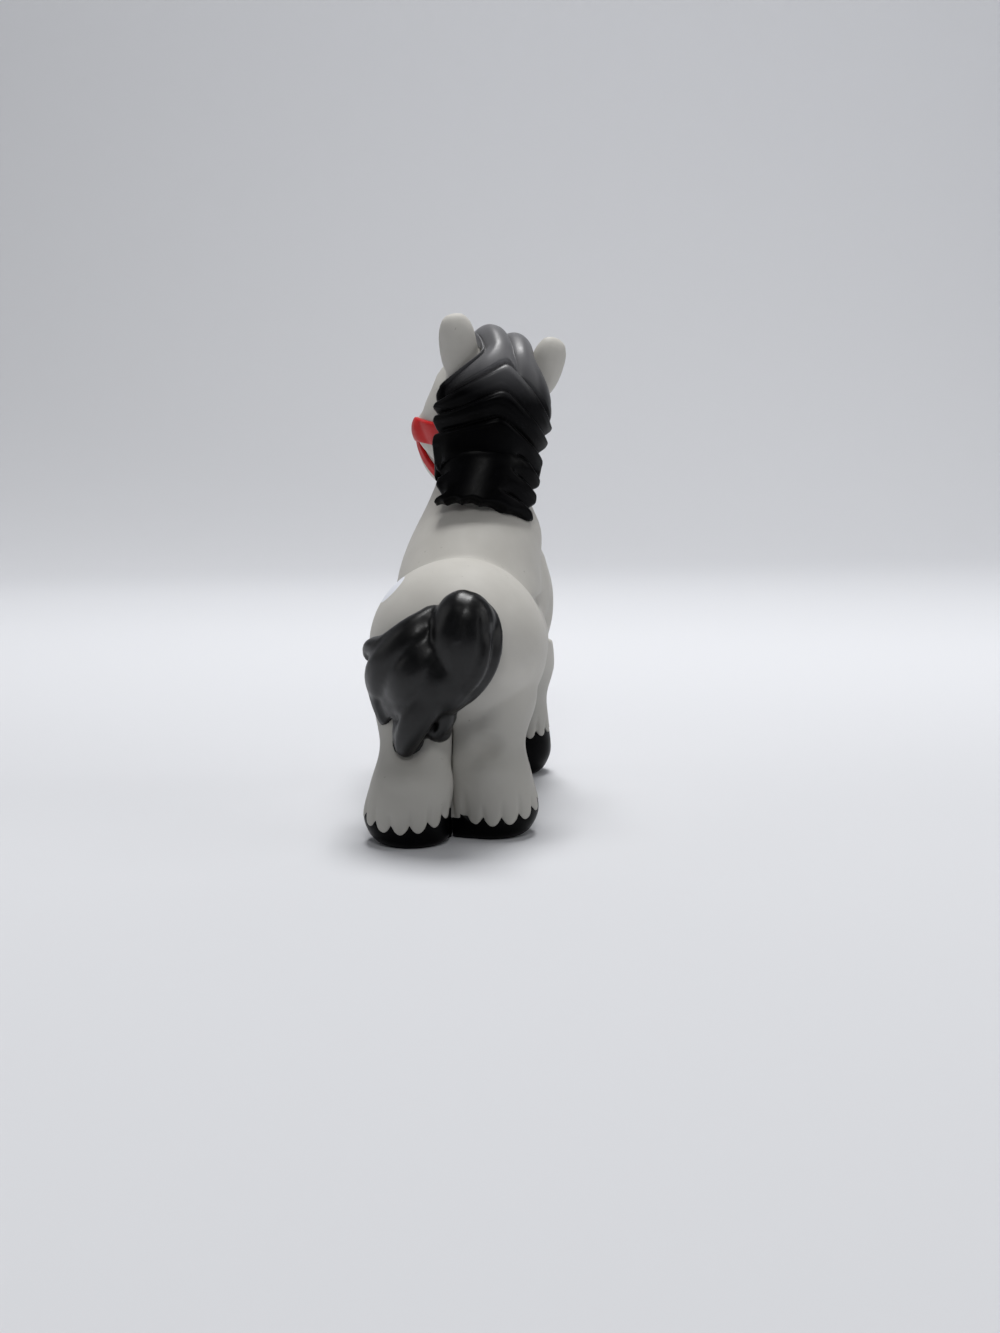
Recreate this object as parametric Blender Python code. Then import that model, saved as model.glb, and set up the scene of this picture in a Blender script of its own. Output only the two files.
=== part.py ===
"""Toy farm horse, about 85 mm tall.

Two hollow half shells meet on the horse's middle plane. The mane, the tail, the four hooves and
the halter are separate mouldings. Metres, +Z up. The horse faces -Y, so its left side is +X.
It is modelled with a straight neck, and bend_neck() then turns and leans the head.
"""

import math
from collections import namedtuple

import bmesh
import bpy
from mathutils import Matrix, Vector

# Moulding and assembly
WALL = 0.0020
GAP = 0.0003
PARTING_GAP = 0.0004
SKIN_VOXEL = 0.00125
CAVITY_VOXEL = 0.0019
HAIR_VOXEL = 0.0008
WELD_DISTANCE = 0.000005
CUTTER_REACH = 0.1

# Trunk: the haunch, the barrel and the chest are rounded masses that run into each other
HAUNCH_WIDTH = 0.0294
HAUNCH_LENGTH = 0.0280
HAUNCH_DEPTH = 0.0290
HAUNCH_BACK = 0.0130
HAUNCH_CENTRE_HEIGHT = 0.0300
BARREL_WIDTH = 0.0276
BARREL_LENGTH = 0.0450
BARREL_DEPTH = 0.0250
BARREL_CENTRE_HEIGHT = 0.0290
CHEST_WIDTH = 0.0274
CHEST_LENGTH = 0.0280
CHEST_DEPTH = 0.0330
CHEST_FORWARD = 0.0130
CHEST_CENTRE_HEIGHT = 0.0345

# Neck
NECK_BASE_HEIGHT = 0.0370
NECK_BASE_WIDTH = 0.0252
NECK_BASE_LENGTH = 0.0357
NECK_BASE_FORWARD = 0.0009
NECK_WIDTH = 0.0164
NECK_LENGTH = 0.0190
NECK_FORWARD = 0.0108

# Head
SKULL_WIDTH = 0.0200
SKULL_LENGTH = 0.0240
SKULL_DEPTH = 0.0235
SKULL_FORWARD = 0.0140
SKULL_HEIGHT = 0.0685
CHEEK_WIDTH = 0.0196
CHEEK_SIZE = 0.0150
CHEEK_FORWARD = 0.0180
CHEEK_HEIGHT = 0.0632
NOSE_WIDTH = 0.0150
NOSE_SIZE = 0.0156
NOSE_FORWARD = 0.0228
NOSE_HEIGHT = 0.0650
MUZZLE_WIDTH = 0.0162
MUZZLE_LENGTH = 0.0178
MUZZLE_DEPTH = 0.0152
MUZZLE_FORWARD = 0.0285
MUZZLE_HEIGHT = 0.0600
EAR_WIDTH = 0.0068
EAR_THICKNESS = 0.0046
EAR_HEIGHT = 0.0128
EAR_SPREAD = 0.0079
EAR_FORWARD = 0.0092
EAR_CENTRE_HEIGHT = 0.0777
POLL_HEIGHT = 0.0740
EAR_SPLAY = 10
RIGHT_EAR_SHARE = 0.92

# Legs: each foot flares from the pastern to the hoof, and the hind feet stand staggered
REAR_FOOT_SPREAD = 0.0069
FRONT_FOOT_SPREAD = 0.0061
PASTERN_SPREAD = 0.0060
HIP_SPREAD = 0.0069
REAR_HOOF_RADIUS = 0.0070
FRONT_HOOF_RADIUS = 0.0061
SOLE_TUCK = 0.0008
SOLE_INWARD = 0.0008
FETLOCK_TUCK = 0.0003
PASTERN_RADIUS = 0.0055
THIGH_RADIUS = 0.0063
HOOF_WIDEST_HEIGHT = 0.0042
FETLOCK_HEIGHT = 0.0096
PASTERN_HEIGHT = 0.0152
THIGH_HEIGHT = 0.0215
HIP_HEIGHT = 0.0270
REAR_LEFT_FOOT_BACK = 0.0252
REAR_RIGHT_FOOT_BACK = 0.0180
REAR_HIP_BACK = 0.0150
FRONT_LEFT_FOOT_FORWARD = 0.0250
FRONT_RIGHT_FOOT_FORWARD = 0.0300
FRONT_HIP_FORWARD = 0.0185

# The hind legs touch along the middle plane
TOUCH_REACH = 0.0046
TOUCH_FRONT = 0.0135
TOUCH_BACK = 0.0245
TOUCH_TOP = 0.0235
TOUCH_FADE = 0.0025
TOUCH_OPENING = 0.05

# Hair edge over each hoof: low behind, high in front, with a scalloped rim
SCALLOPS = 14
SCALLOP_HEIGHT = 0.0012
REAR_HAIR_BEHIND = 0.0032
REAR_HAIR_BEFORE = 0.0078
FRONT_HAIR_BEHIND = 0.0080
FRONT_HAIR_BEFORE = 0.0098
HOOF_SEAT_RADIUS = 0.0044
HOOF_PLUG_CLEARANCE = 0.0008
HOOF_PLUG_HEIGHT = 0.0030

# Mane: a layer over the crest of the neck, modelled into locks that part at the crest, and a tuft
MANE_THICKNESS = 0.0010
MANE_BOTTOM_HEIGHT = 0.0542
MANE_WRAP = 82
MANE_WRAP_LEFT = 77
MANE_WRAP_LEFT_END = 52
MANE_WRAP_RIGHT_END = 80
BETWEEN_EARS_LEFT = 27
BETWEEN_EARS_RIGHT = 35
LOCK_START = 0.0025
LOCK_PITCH = 0.0042
LOCK_DROP = 0.0092
LOCK_END_DROP = 0.0030
LOCK_PARTING = 0.08
LOCK_APEX = 0.14
LOCK_RELIEF = 0.0015
RAISED_ROWS = 3
TUFT_RELIEF = 0.0019
MANE_PEG_RADIUS = 0.0013
MANE_PEG_LENGTH = 0.0050

# Tail: its locks swing to the horse's right, then hang to the left
TAIL_ROOT_HEIGHT = 0.0357
TAIL_BULB_RADIUS = 0.0042
TAIL_DROP = 0.0212
TAIL_SWING = 0.0128
TAIL_STAND_OFF = 0.0050
TAIL_LOCK_WIDTH = 0.0070
TAIL_LOCK_THICKNESS = 0.0046
TAIL_PEG_RADIUS = 0.0017
TAIL_PEG_LENGTH = 0.0065
TAIL_COLLAR_RADIUS = 0.0027
TAIL_COLLAR_THICKNESS = 0.0014
TAIL_BOSS_RADIUS = 0.0046

# Locating pins between the two half shells
BOSS_RADIUS = 0.0026
PIN_RADIUS = 0.0011
PIN_REACH = 0.0030

# Halter
STRAP_WIDTH = 0.0034
STRAP_THICKNESS = 0.0008
NOSEBAND_FORWARD = 0.0262
NOSEBAND_TILT = 27
CHEEKPIECE_HEIGHT = 0.0634
HALTER_SETBACK = 15

# Pose of the head: turned to the horse's left and leaned to its right
HEAD_TURN = 21.5
HEAD_LEAN = 10.5
TWIST_HEIGHT = 0.0440
TWIST_FORWARD = 0.0070
TWIST_START = 0.0010
TWIST_LENGTH = 0.0120
BEND_STEP = 0.0022
TURN_AXIS_FORWARD = 0.0100
LEAN_AXIS_HEIGHT = 0.0520


Foot = namedtuple("Foot", "name x y hip_y radius hair_behind hair_before")


# Small helpers

def start_empty():
    for obj in list(bpy.data.objects):
        bpy.data.objects.remove(obj, do_unlink=True)


def object_from(name, mesh):
    obj = bpy.data.objects.new(name, mesh)
    bpy.context.scene.collection.objects.link(obj)
    return obj


def object_from_bmesh(name, bm):
    mesh = bpy.data.meshes.new(name)
    bmesh.ops.recalc_face_normals(bm, faces=bm.faces)
    bm.to_mesh(mesh)
    bm.free()
    return object_from(name, mesh)


def bake(obj):
    """Gives obj the mesh that its modifiers make, and drops the modifiers."""
    bpy.context.view_layer.update()
    graph = bpy.context.evaluated_depsgraph_get()
    mesh = bpy.data.meshes.new_from_object(obj.evaluated_get(graph))
    obj.modifiers.clear()
    obj.data = mesh
    return obj


def copy_of(obj, name):
    return object_from(name, obj.data.copy())


def discard(*objects):
    for obj in objects:
        bpy.data.objects.remove(obj, do_unlink=True)


def weld(obj):
    """Merges the hair-thin slivers that a cut leaves, and makes every face a triangle."""
    bm = bmesh.new()
    bm.from_mesh(obj.data)
    bmesh.ops.remove_doubles(bm, verts=bm.verts, dist=WELD_DISTANCE)
    bmesh.ops.dissolve_degenerate(bm, dist=WELD_DISTANCE, edges=bm.edges)
    bmesh.ops.triangulate(bm, faces=bm.faces)
    bm.to_mesh(obj.data)
    bm.free()


def boolean(obj, other, operation, keep_other=False):
    weld(obj)
    weld(other)
    modifier = obj.modifiers.new(operation.lower(), "BOOLEAN")
    modifier.operation = operation
    modifier.solver = "EXACT"
    modifier.object = other
    bake(obj)
    weld(obj)
    if not keep_other:
        discard(other)
    return obj


def smooth_step(value, low, high):
    share = min(1.0, max(0.0, (value - low) / (high - low)))
    return share * share * (3 - 2 * share)


def mix(a, b, share):
    return a + (b - a) * share


def through(points, samples):
    """Points along a smooth curve through the given points, which are tuples of any length."""
    last = len(points) - 1
    curve = []
    for step in range(samples):
        place = last * step / (samples - 1)
        i = min(int(place), last - 1)
        t = place - i
        a, b, c, d = (points[min(last, max(0, i + k))] for k in (-1, 0, 1, 2))
        curve.append(tuple(
            0.5 * (2 * q + (r - p) * t + (2 * p - 5 * q + 4 * r - s) * t * t
                   + (3 * q - p - 3 * r + s) * t ** 3)
            for p, q, r, s in zip(a, b, c, d)
        ))
    return curve


# Shapes that bodies are made of

def ellipsoid(bm, centre, size, splay=0.0):
    """A rounded mass of the given full size. Splay leans it sideways, in degrees."""
    matrix = (
        Matrix.Translation(centre)
        @ Matrix.Rotation(math.radians(splay), 4, "Y")
        @ Matrix.Diagonal((size[0] / 2, size[1] / 2, size[2] / 2, 1))
    )
    bmesh.ops.create_uvsphere(bm, u_segments=32, v_segments=20, radius=1, matrix=matrix)


def box(bm, low, high, rotation=0.0):
    """A box between two corners, pitched about the X axis through its centre, in degrees."""
    low, high = Vector(low), Vector(high)
    matrix = (
        Matrix.Translation((low + high) / 2)
        @ Matrix.Rotation(math.radians(rotation), 4, "X")
        @ Matrix.Diagonal((*(high - low), 1))
    )
    bmesh.ops.create_cube(bm, size=1, matrix=matrix)


def cylinder(bm, start, end, radius, sides=12):
    start, end = Vector(start), Vector(end)
    axis = end - start
    matrix = Matrix.Translation((start + end) / 2) @ axis.to_track_quat("Z", "Y").to_matrix().to_4x4()
    bmesh.ops.create_cone(
        bm, cap_ends=True, segments=sides, radius1=radius, radius2=radius, depth=axis.length, matrix=matrix
    )


def tube(bm, rings):
    """A closed tube through rings of points, all with as many points."""
    loops = [[bm.verts.new(point) for point in ring] for ring in rings]
    count = len(loops[0])
    for before, after in zip(loops, loops[1:]):
        for i in range(count):
            j = (i + 1) % count
            bm.faces.new((before[i], before[j], after[j], after[i]))
    bm.faces.new(list(reversed(loops[0])))
    bm.faces.new(loops[-1])


def oval_ring(centre, across, along, sides=24):
    ring = []
    for i in range(sides):
        turn = 2 * math.pi * i / sides
        ring.append(Vector(centre) + Vector(across) * math.cos(turn) + Vector(along) * math.sin(turn))
    return ring


def lock(bm, path, width, thickness, outward, sides=10):
    """A lock of hair along path: oval in section, tapered at both ends, flat side against outward."""
    last = len(path) - 1
    rings = []
    for i, point in enumerate(path):
        tangent = (Vector(path[min(last, i + 1)]) - Vector(path[max(0, i - 1)])).normalized()
        normal = outward[i] - tangent * outward[i].dot(tangent)
        normal.normalize()
        share = i / last
        taper = 0.30 + 0.70 * math.sin(math.pi * min(1.0, 0.18 + 0.80 * share)) ** 0.7
        side = tangent.cross(normal) * (width / 2 * taper)
        rings.append(oval_ring(point, side, normal * (thickness / 2 * taper), sides))
    tube(bm, rings)


def fused(name, bm, voxel, passes, keep):
    """One smooth closed skin round everything in bm."""
    obj = object_from_bmesh(name, bm)
    remesh = obj.modifiers.new("remesh", "REMESH")
    remesh.mode = "VOXEL"
    remesh.voxel_size = voxel
    smooth = obj.modifiers.new("smooth", "SMOOTH")
    smooth.factor = 0.5
    smooth.iterations = passes
    decimate = obj.modifiers.new("decimate", "DECIMATE")
    decimate.ratio = keep
    return bake(obj)


# Body volumes

def leg_profile(hoof_radius, inset):
    """Height, radius and share of the way from the foot to the hip, up the leg."""
    sole = hoof_radius - SOLE_TUCK
    return [
        (-0.0010, sole - 0.0008 - inset, 0.0),
        (0.0004, sole - inset, 0.0),
        (HOOF_WIDEST_HEIGHT, hoof_radius - inset, 0.0),
        (FETLOCK_HEIGHT, hoof_radius - FETLOCK_TUCK - inset, 0.04),
        (PASTERN_HEIGHT, PASTERN_RADIUS - inset, 0.25),
        (THIGH_HEIGHT, THIGH_RADIUS - inset, 0.65),
        (HIP_HEIGHT, THIGH_RADIUS - inset, 1.0),
    ]


def leg(bm, foot, inset):
    stations = []
    for height, radius, share in leg_profile(foot.radius, inset):
        spread = abs(foot.x)
        if height < HOOF_WIDEST_HEIGHT:
            spread -= SOLE_INWARD
        elif height > HOOF_WIDEST_HEIGHT:
            spread = PASTERN_SPREAD if height <= PASTERN_HEIGHT else HIP_SPREAD
        x = math.copysign(spread, foot.x)
        stations.append((x, mix(foot.y, foot.hip_y, share), height, radius))
    rings = [
        oval_ring((x, y, z), (radius, 0, 0), (0, radius, 0))
        for x, y, z, radius in through(stations, 20)
    ]
    tube(bm, rings)


def feet():
    """The four feet, with their hips' Y and the heights of the hair edge behind and before them."""
    rear = (REAR_HIP_BACK, REAR_HOOF_RADIUS, REAR_HAIR_BEHIND, REAR_HAIR_BEFORE)
    front = (-FRONT_HIP_FORWARD, FRONT_HOOF_RADIUS, FRONT_HAIR_BEHIND, FRONT_HAIR_BEFORE)
    return [
        Foot("rear_left", REAR_FOOT_SPREAD, REAR_LEFT_FOOT_BACK, *rear),
        Foot("rear_right", -REAR_FOOT_SPREAD, REAR_RIGHT_FOOT_BACK, *rear),
        Foot("front_left", FRONT_FOOT_SPREAD, -FRONT_LEFT_FOOT_FORWARD, *front),
        Foot("front_right", -FRONT_FOOT_SPREAD, -FRONT_RIGHT_FOOT_FORWARD, *front),
    ]


def neck(bm, inset):
    middle_height = mix(NECK_BASE_HEIGHT, SKULL_HEIGHT, 0.5)
    stations = [
        (NECK_BASE_FORWARD, NECK_BASE_HEIGHT, NECK_BASE_WIDTH, NECK_BASE_LENGTH),
        (mix(NECK_BASE_FORWARD, NECK_FORWARD, 0.6), mix(NECK_BASE_HEIGHT, middle_height, 0.62),
         mix(NECK_BASE_WIDTH, NECK_WIDTH, 0.30), mix(NECK_BASE_LENGTH, NECK_LENGTH, 0.45)),
        (NECK_FORWARD, middle_height + 0.0020, NECK_WIDTH, NECK_LENGTH),
        (mix(NECK_FORWARD, SKULL_FORWARD, 0.5), mix(middle_height, SKULL_HEIGHT, 0.6),
         NECK_WIDTH, NECK_LENGTH),
        (SKULL_FORWARD, SKULL_HEIGHT, NECK_WIDTH, NECK_LENGTH),
    ]
    rings = [
        oval_ring((0, -forward, height), (width / 2 - inset, 0, 0), (0, length / 2 - inset, 0))
        for forward, height, width, length in through(stations, 14)
    ]
    tube(bm, rings)


def body_volumes(inset=0.0):
    """The whole horse as overlapping masses, each smaller by inset all round."""
    bm = bmesh.new()
    shrink = 2 * inset

    def mass(centre, size, splay=0.0):
        ellipsoid(bm, centre, [side - shrink for side in size], splay)

    mass((0, HAUNCH_BACK, HAUNCH_CENTRE_HEIGHT), (HAUNCH_WIDTH, HAUNCH_LENGTH, HAUNCH_DEPTH))
    mass((0, 0, BARREL_CENTRE_HEIGHT), (BARREL_WIDTH, BARREL_LENGTH, BARREL_DEPTH))
    mass((0, -CHEST_FORWARD, CHEST_CENTRE_HEIGHT), (CHEST_WIDTH, CHEST_LENGTH, CHEST_DEPTH))
    mass((0, -SKULL_FORWARD, SKULL_HEIGHT), (SKULL_WIDTH, SKULL_LENGTH, SKULL_DEPTH))
    mass((0, -CHEEK_FORWARD, CHEEK_HEIGHT), (CHEEK_WIDTH, CHEEK_SIZE, CHEEK_SIZE))
    mass((0, -NOSE_FORWARD, NOSE_HEIGHT), (NOSE_WIDTH, NOSE_SIZE, NOSE_SIZE))
    mass((0, -MUZZLE_FORWARD, MUZZLE_HEIGHT), (MUZZLE_WIDTH, MUZZLE_LENGTH, MUZZLE_DEPTH))
    neck(bm, inset)
    for foot in feet():
        leg(bm, foot, inset)
    if not inset:
        for side, share in ((1, 1), (-1, RIGHT_EAR_SHARE)):
            height = EAR_CENTRE_HEIGHT - (1 - share) * EAR_HEIGHT / 2
            mass((side * EAR_SPREAD, -EAR_FORWARD, height),
                 (EAR_WIDTH * share, EAR_THICKNESS, EAR_HEIGHT * share), side * EAR_SPLAY)
    return bm


def whole_skin():
    skin = fused("skin", body_volumes(), SKIN_VOXEL, 3, 0.16)
    bm = bmesh.new()
    far = CUTTER_REACH
    box(bm, (-far, -far, 0), (far, far, 2 * far))
    return boolean(skin, object_from_bmesh("above_floor", bm), "INTERSECT")


def legs_together(skin):
    """A copy of the skin with the inner sides of the hind legs drawn in to the middle plane."""
    body = copy_of(skin, "body")
    for vertex in body.data.vertices:
        x, y, z = vertex.co
        share = (
            smooth_step(abs(x), TOUCH_REACH, TOUCH_REACH / 2)
            * smooth_step(y, TOUCH_FRONT, TOUCH_FRONT + TOUCH_FADE)
            * smooth_step(y, TOUCH_BACK, TOUCH_BACK - TOUCH_FADE)
            * smooth_step(z, TOUCH_TOP, TOUCH_TOP - 2 * TOUCH_FADE)
        )
        vertex.co.x = mix(x, TOUCH_OPENING * x, share)
    return body


def grown(skin, distance):
    """A copy of the skin moved out along its normals."""
    layer = copy_of(skin, "layer")
    for vertex, normal in zip(layer.data.vertices, [v.normal.copy() for v in layer.data.vertices]):
        vertex.co += normal * distance
    return layer


# Hooves

def hair_height(turn, foot):
    """Height of the scalloped hair edge at an angle round the foot, which is 0 at the horse's left."""
    share = (1 - math.sin(turn)) / 2
    rim = 0.5 - abs(math.sin(SCALLOPS * turn / 2))
    return mix(foot.hair_behind, foot.hair_before, share) + SCALLOP_HEIGHT * rim


def hoof_block(foot, lift):
    """The block that a hoof is cut from: its top is the hair edge outside and a flat seat inside."""
    segments = 2 * SCALLOPS
    reach = 1.35 * foot.radius
    rings = [oval_ring((foot.x, foot.y, -CUTTER_REACH), (reach, 0, 0), (0, reach, 0), segments)]
    for radius in (reach, foot.radius - WALL / 2):
        ring = oval_ring((foot.x, foot.y, 0), (radius, 0, 0), (0, radius, 0), segments)
        for i, point in enumerate(ring):
            point.z = hair_height(2 * math.pi * i / segments, foot) + lift
        rings.append(ring)
    seat = (foot.x, foot.y, foot.hair_behind + lift)
    rings.append(oval_ring(seat, (HOOF_SEAT_RADIUS, 0, 0), (0, HOOF_SEAT_RADIUS, 0), segments))
    bm = bmesh.new()
    tube(bm, rings)
    return object_from_bmesh("hoof_block", bm)


def half_space(side, back_off):
    bm = bmesh.new()
    far = CUTTER_REACH
    low, high = sorted((side * back_off, side * far))
    box(bm, (low, -far, -far), (high, far, 2 * far))
    return object_from_bmesh("half_space", bm)


def hoof(foot, half):
    """A hoof with a solid plug that stands up into the hollow leg."""
    cap = copy_of(half, "hoof_" + foot.name)
    boolean(cap, hoof_block(foot, 0), "INTERSECT")
    bm = bmesh.new()
    leg(bm, foot, WALL + HOOF_PLUG_CLEARANCE)
    plug = object_from_bmesh("plug", bm)
    bm = bmesh.new()
    low, high = foot.hair_behind / 2, foot.hair_behind + HOOF_PLUG_HEIGHT
    box(bm, (-CUTTER_REACH, -CUTTER_REACH, low), (CUTTER_REACH, CUTTER_REACH, high))
    boolean(plug, object_from_bmesh("plug_span", bm), "INTERSECT")
    return boolean(cap, plug, "UNION")


# Half shells

def pin_places():
    """Y and Z of each locating pin: haunch, chest, neck and head."""
    return [
        (HAUNCH_BACK, HAUNCH_CENTRE_HEIGHT - 0.0030),
        (-CHEST_FORWARD, CHEST_CENTRE_HEIGHT - 0.0020),
        (-NECK_FORWARD, mix(NECK_BASE_HEIGHT, SKULL_HEIGHT, 0.55)),
        (-SKULL_FORWARD - 0.0010, SKULL_HEIGHT + 0.0020),
    ]


def tail_peg(clearance):
    """The tail's peg with its collar, or with a clearance the pocket that it sits in."""
    bm = bmesh.new()
    outer = tail_root().y + 0.0010
    inner = tail_root().y - TAIL_PEG_LENGTH
    collar = mix(inner, tail_root().y, 0.35)
    half = TAIL_COLLAR_THICKNESS / 2 + clearance
    height = TAIL_ROOT_HEIGHT
    cylinder(bm, (0, inner - clearance, height), (0, outer, height), TAIL_PEG_RADIUS + clearance)
    peg = object_from_bmesh("peg", bm)
    bm = bmesh.new()
    cylinder(bm, (0, collar - half, height), (0, collar + half, height), TAIL_COLLAR_RADIUS + clearance)
    return boolean(peg, object_from_bmesh("collar", bm), "UNION")


def mane_pegs(clearance):
    bm = bmesh.new()
    for arc in mane_peg_arcs():
        crest, outward = crest_at(arc)[:2]
        inner = crest - outward * (MANE_PEG_LENGTH + clearance)
        cylinder(bm, inner, crest + outward * MANE_THICKNESS, MANE_PEG_RADIUS + clearance, 10)
    return object_from_bmesh("mane_pegs", bm)


def hollow(cavity):
    """The cavity with posts left standing in it for the locating pins and for the tail's pocket."""
    for y, z in pin_places():
        bm = bmesh.new()
        cylinder(bm, (-CUTTER_REACH, y, z), (CUTTER_REACH, y, z), BOSS_RADIUS)
        boolean(cavity, object_from_bmesh("post", bm), "DIFFERENCE")
    bm = bmesh.new()
    inner = tail_root().y - TAIL_PEG_LENGTH - WALL
    height = TAIL_ROOT_HEIGHT
    cylinder(bm, (0, inner, height), (0, CUTTER_REACH, height), TAIL_BOSS_RADIUS)
    return boolean(cavity, object_from_bmesh("post", bm), "DIFFERENCE")


def pins(radius, reach):
    """Pins that cross the middle plane from the left half by reach."""
    bm = bmesh.new()
    for y, z in pin_places():
        cylinder(bm, (-reach, y, z), (GAP + PIN_REACH / 2, y, z), radius, 10)
    return object_from_bmesh("pins", bm)


def half_shell(name, side, half, cavity):
    shell = copy_of(half, name)
    boolean(shell, cavity, "DIFFERENCE", keep_other=True)
    for foot in feet():
        if foot.x * side > 0:
            boolean(shell, hoof_block(foot, GAP), "DIFFERENCE")
    boolean(shell, tail_peg(GAP), "DIFFERENCE")
    boolean(shell, mane_pegs(GAP), "DIFFERENCE")
    if side > 0:
        boolean(shell, pins(PIN_RADIUS, PIN_REACH), "UNION")
    else:
        boolean(shell, pins(PIN_RADIUS + GAP, PIN_REACH + 2 * GAP), "DIFFERENCE")
    return shell


# Mane

def crest_stations():
    """Y, Z, half width and depth of the skin along the crest, from the withers to the forehead."""
    neck_back = NECK_LENGTH / 2 - NECK_FORWARD
    skull_back = SKULL_LENGTH / 2 - SKULL_FORWARD
    skull_top = SKULL_HEIGHT + SKULL_DEPTH / 2
    skull_front = -SKULL_FORWARD - SKULL_LENGTH / 2
    return [
        (neck_back + 0.0030, MANE_BOTTOM_HEIGHT - 0.0010, NECK_WIDTH / 2 + 0.0012, NECK_LENGTH / 2),
        (neck_back + 0.0006, MANE_BOTTOM_HEIGHT + 0.0055, NECK_WIDTH / 2 + 0.0002, NECK_LENGTH / 2),
        (skull_back, SKULL_HEIGHT - 0.0070, NECK_WIDTH / 2 + 0.0006, NECK_LENGTH / 2),
        (skull_back - 0.0002, SKULL_HEIGHT, SKULL_WIDTH / 2 - 0.0006, SKULL_LENGTH / 2),
        (skull_back - 0.0022, SKULL_HEIGHT + 0.0064, SKULL_WIDTH / 2 - 0.0012, SKULL_LENGTH / 2),
        (skull_back - 0.0065, skull_top - 0.0014, SKULL_WIDTH / 2 - 0.0010, SKULL_DEPTH / 2),
        (-SKULL_FORWARD, skull_top, SKULL_WIDTH / 2, SKULL_DEPTH / 2),
        (skull_front + 0.0052, skull_top - 0.0026, SKULL_WIDTH / 2, SKULL_DEPTH / 2),
        (skull_front + 0.0016, SKULL_HEIGHT + 0.0058, SKULL_WIDTH / 2, SKULL_LENGTH / 2),
    ]


def crest_table():
    """Crest points with their distance along the crest, worked out once."""
    table = []
    arc = 0.0
    previous = None
    for y, z, half_width, depth in through(crest_stations(), 65):
        if previous is not None:
            arc += math.hypot(y - previous[0], z - previous[1])
        previous = (y, z)
        table.append((arc, y, z, half_width, depth))
    return table


CREST = crest_table()
CREST_LENGTH = CREST[-1][0]


def crest_at(arc):
    """Crest point, outward direction, half width and depth at a distance along the crest."""
    arc = min(CREST_LENGTH, max(0.0, arc))
    i = next(k for k in range(1, len(CREST)) if CREST[k][0] >= arc)
    before, after = CREST[i - 1], CREST[i]
    share = (arc - before[0]) / (after[0] - before[0])
    y, z, half_width, depth = (mix(p, q, share) for p, q in zip(before[1:], after[1:]))
    along = Vector((0, after[1] - before[1], after[2] - before[2])).normalized()
    outward = Vector((0, along.z, -along.y))
    return Vector((0, y, z)), outward, half_width, depth


def on_crest(arc, wrap, lift):
    """Point at an angle round from the crest, in degrees, lifted off the skin, and its outward direction."""
    crest, outward, half_width, depth = crest_at(arc)
    turn = math.radians(wrap)
    sideways = Vector((1, 0, 0))
    point = crest + outward * ((math.cos(turn) - 1) * depth) + sideways * (math.sin(turn) * half_width)
    normal = (outward * math.cos(turn) + sideways * math.sin(turn)).normalized()
    return point + normal * lift, normal


def poll_arc():
    """Distance along the crest to the back of the ears, where the mane narrows."""
    return next(row[0] for row in CREST if row[2] > POLL_HEIGHT)


def mane_peg_arcs():
    return (0.30 * poll_arc(), 0.85 * poll_arc())


def wrap_at(arc, side):
    """How far round the mane reaches on one side, in degrees, at a distance along the crest."""
    end = MANE_WRAP_LEFT_END if side > 0 else MANE_WRAP_RIGHT_END
    full = MANE_WRAP_LEFT if side > 0 else MANE_WRAP
    widest = mix(end, full, smooth_step(arc, 0, 0.55 * poll_arc()))
    between = BETWEEN_EARS_LEFT if side > 0 else BETWEEN_EARS_RIGHT
    return mix(widest, between, smooth_step(arc, poll_arc() - 0.0015, poll_arc() + 0.0055))


def lock_place(arc, side_share):
    """Number of the lock at a place on the mane, counted down from the poll, with its fraction."""
    drop = mix(LOCK_END_DROP, LOCK_DROP, smooth_step(arc, 0, poll_arc()))
    side = math.hypot(side_share - LOCK_PARTING, LOCK_APEX) - LOCK_APEX
    return (poll_arc() - LOCK_START - arc - drop * side) / LOCK_PITCH


def tuft_lobe(side_share):
    """Height of the tuft between the ears, as a share of its relief: three unequal lobes."""
    for low, high, tall in ((-1.0, -0.15, 0.84), (-0.15, 0.84, 1.0), (0.84, 1.0, 0.62)):
        if low < side_share < high:
            return tall * math.sin(math.pi * (side_share - low) / (high - low)) ** 0.55
    return 0


def mane_height(arc, side_share):
    """Height of the mane's outer face over the skin."""
    place = lock_place(arc, side_share)
    row = max(-1, math.floor(place))
    share = min(1.0, max(0.0, place - row))
    roll = math.sin(math.pi * share ** 0.85) ** 0.65 if 0 < share < 1 else 0
    if row >= RAISED_ROWS:
        middle = smooth_step(side_share, -0.55, -0.25) * smooth_step(side_share, 0.90, 0.65)
        roll = mix(roll, 0.55 + 0.15 * roll, middle)
    over_poll = smooth_step(-place, 0.9, 1.15)
    return MANE_THICKNESS + mix(LOCK_RELIEF * roll, TUFT_RELIEF * tuft_lobe(side_share), over_poll)


def cape(bm, low, height, overhang=0, rows=26, columns=15):
    """A layer over the crest from low up to height(arc, side share), with extra wrap in degrees."""
    rings = []
    for row in range(rows):
        arc = mix(0.0, CREST_LENGTH * 0.97, row / (rows - 1))
        outer, inner = [], []
        for column in range(columns):
            share = 2 * column / (columns - 1) - 1
            wrap = (wrap_at(arc, share) + overhang) * share
            outer.append(on_crest(arc, wrap, height(arc, share))[0])
            inner.append(on_crest(arc, wrap, low)[0])
        rings.append(outer + inner[::-1])
    tube(bm, rings)


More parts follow.
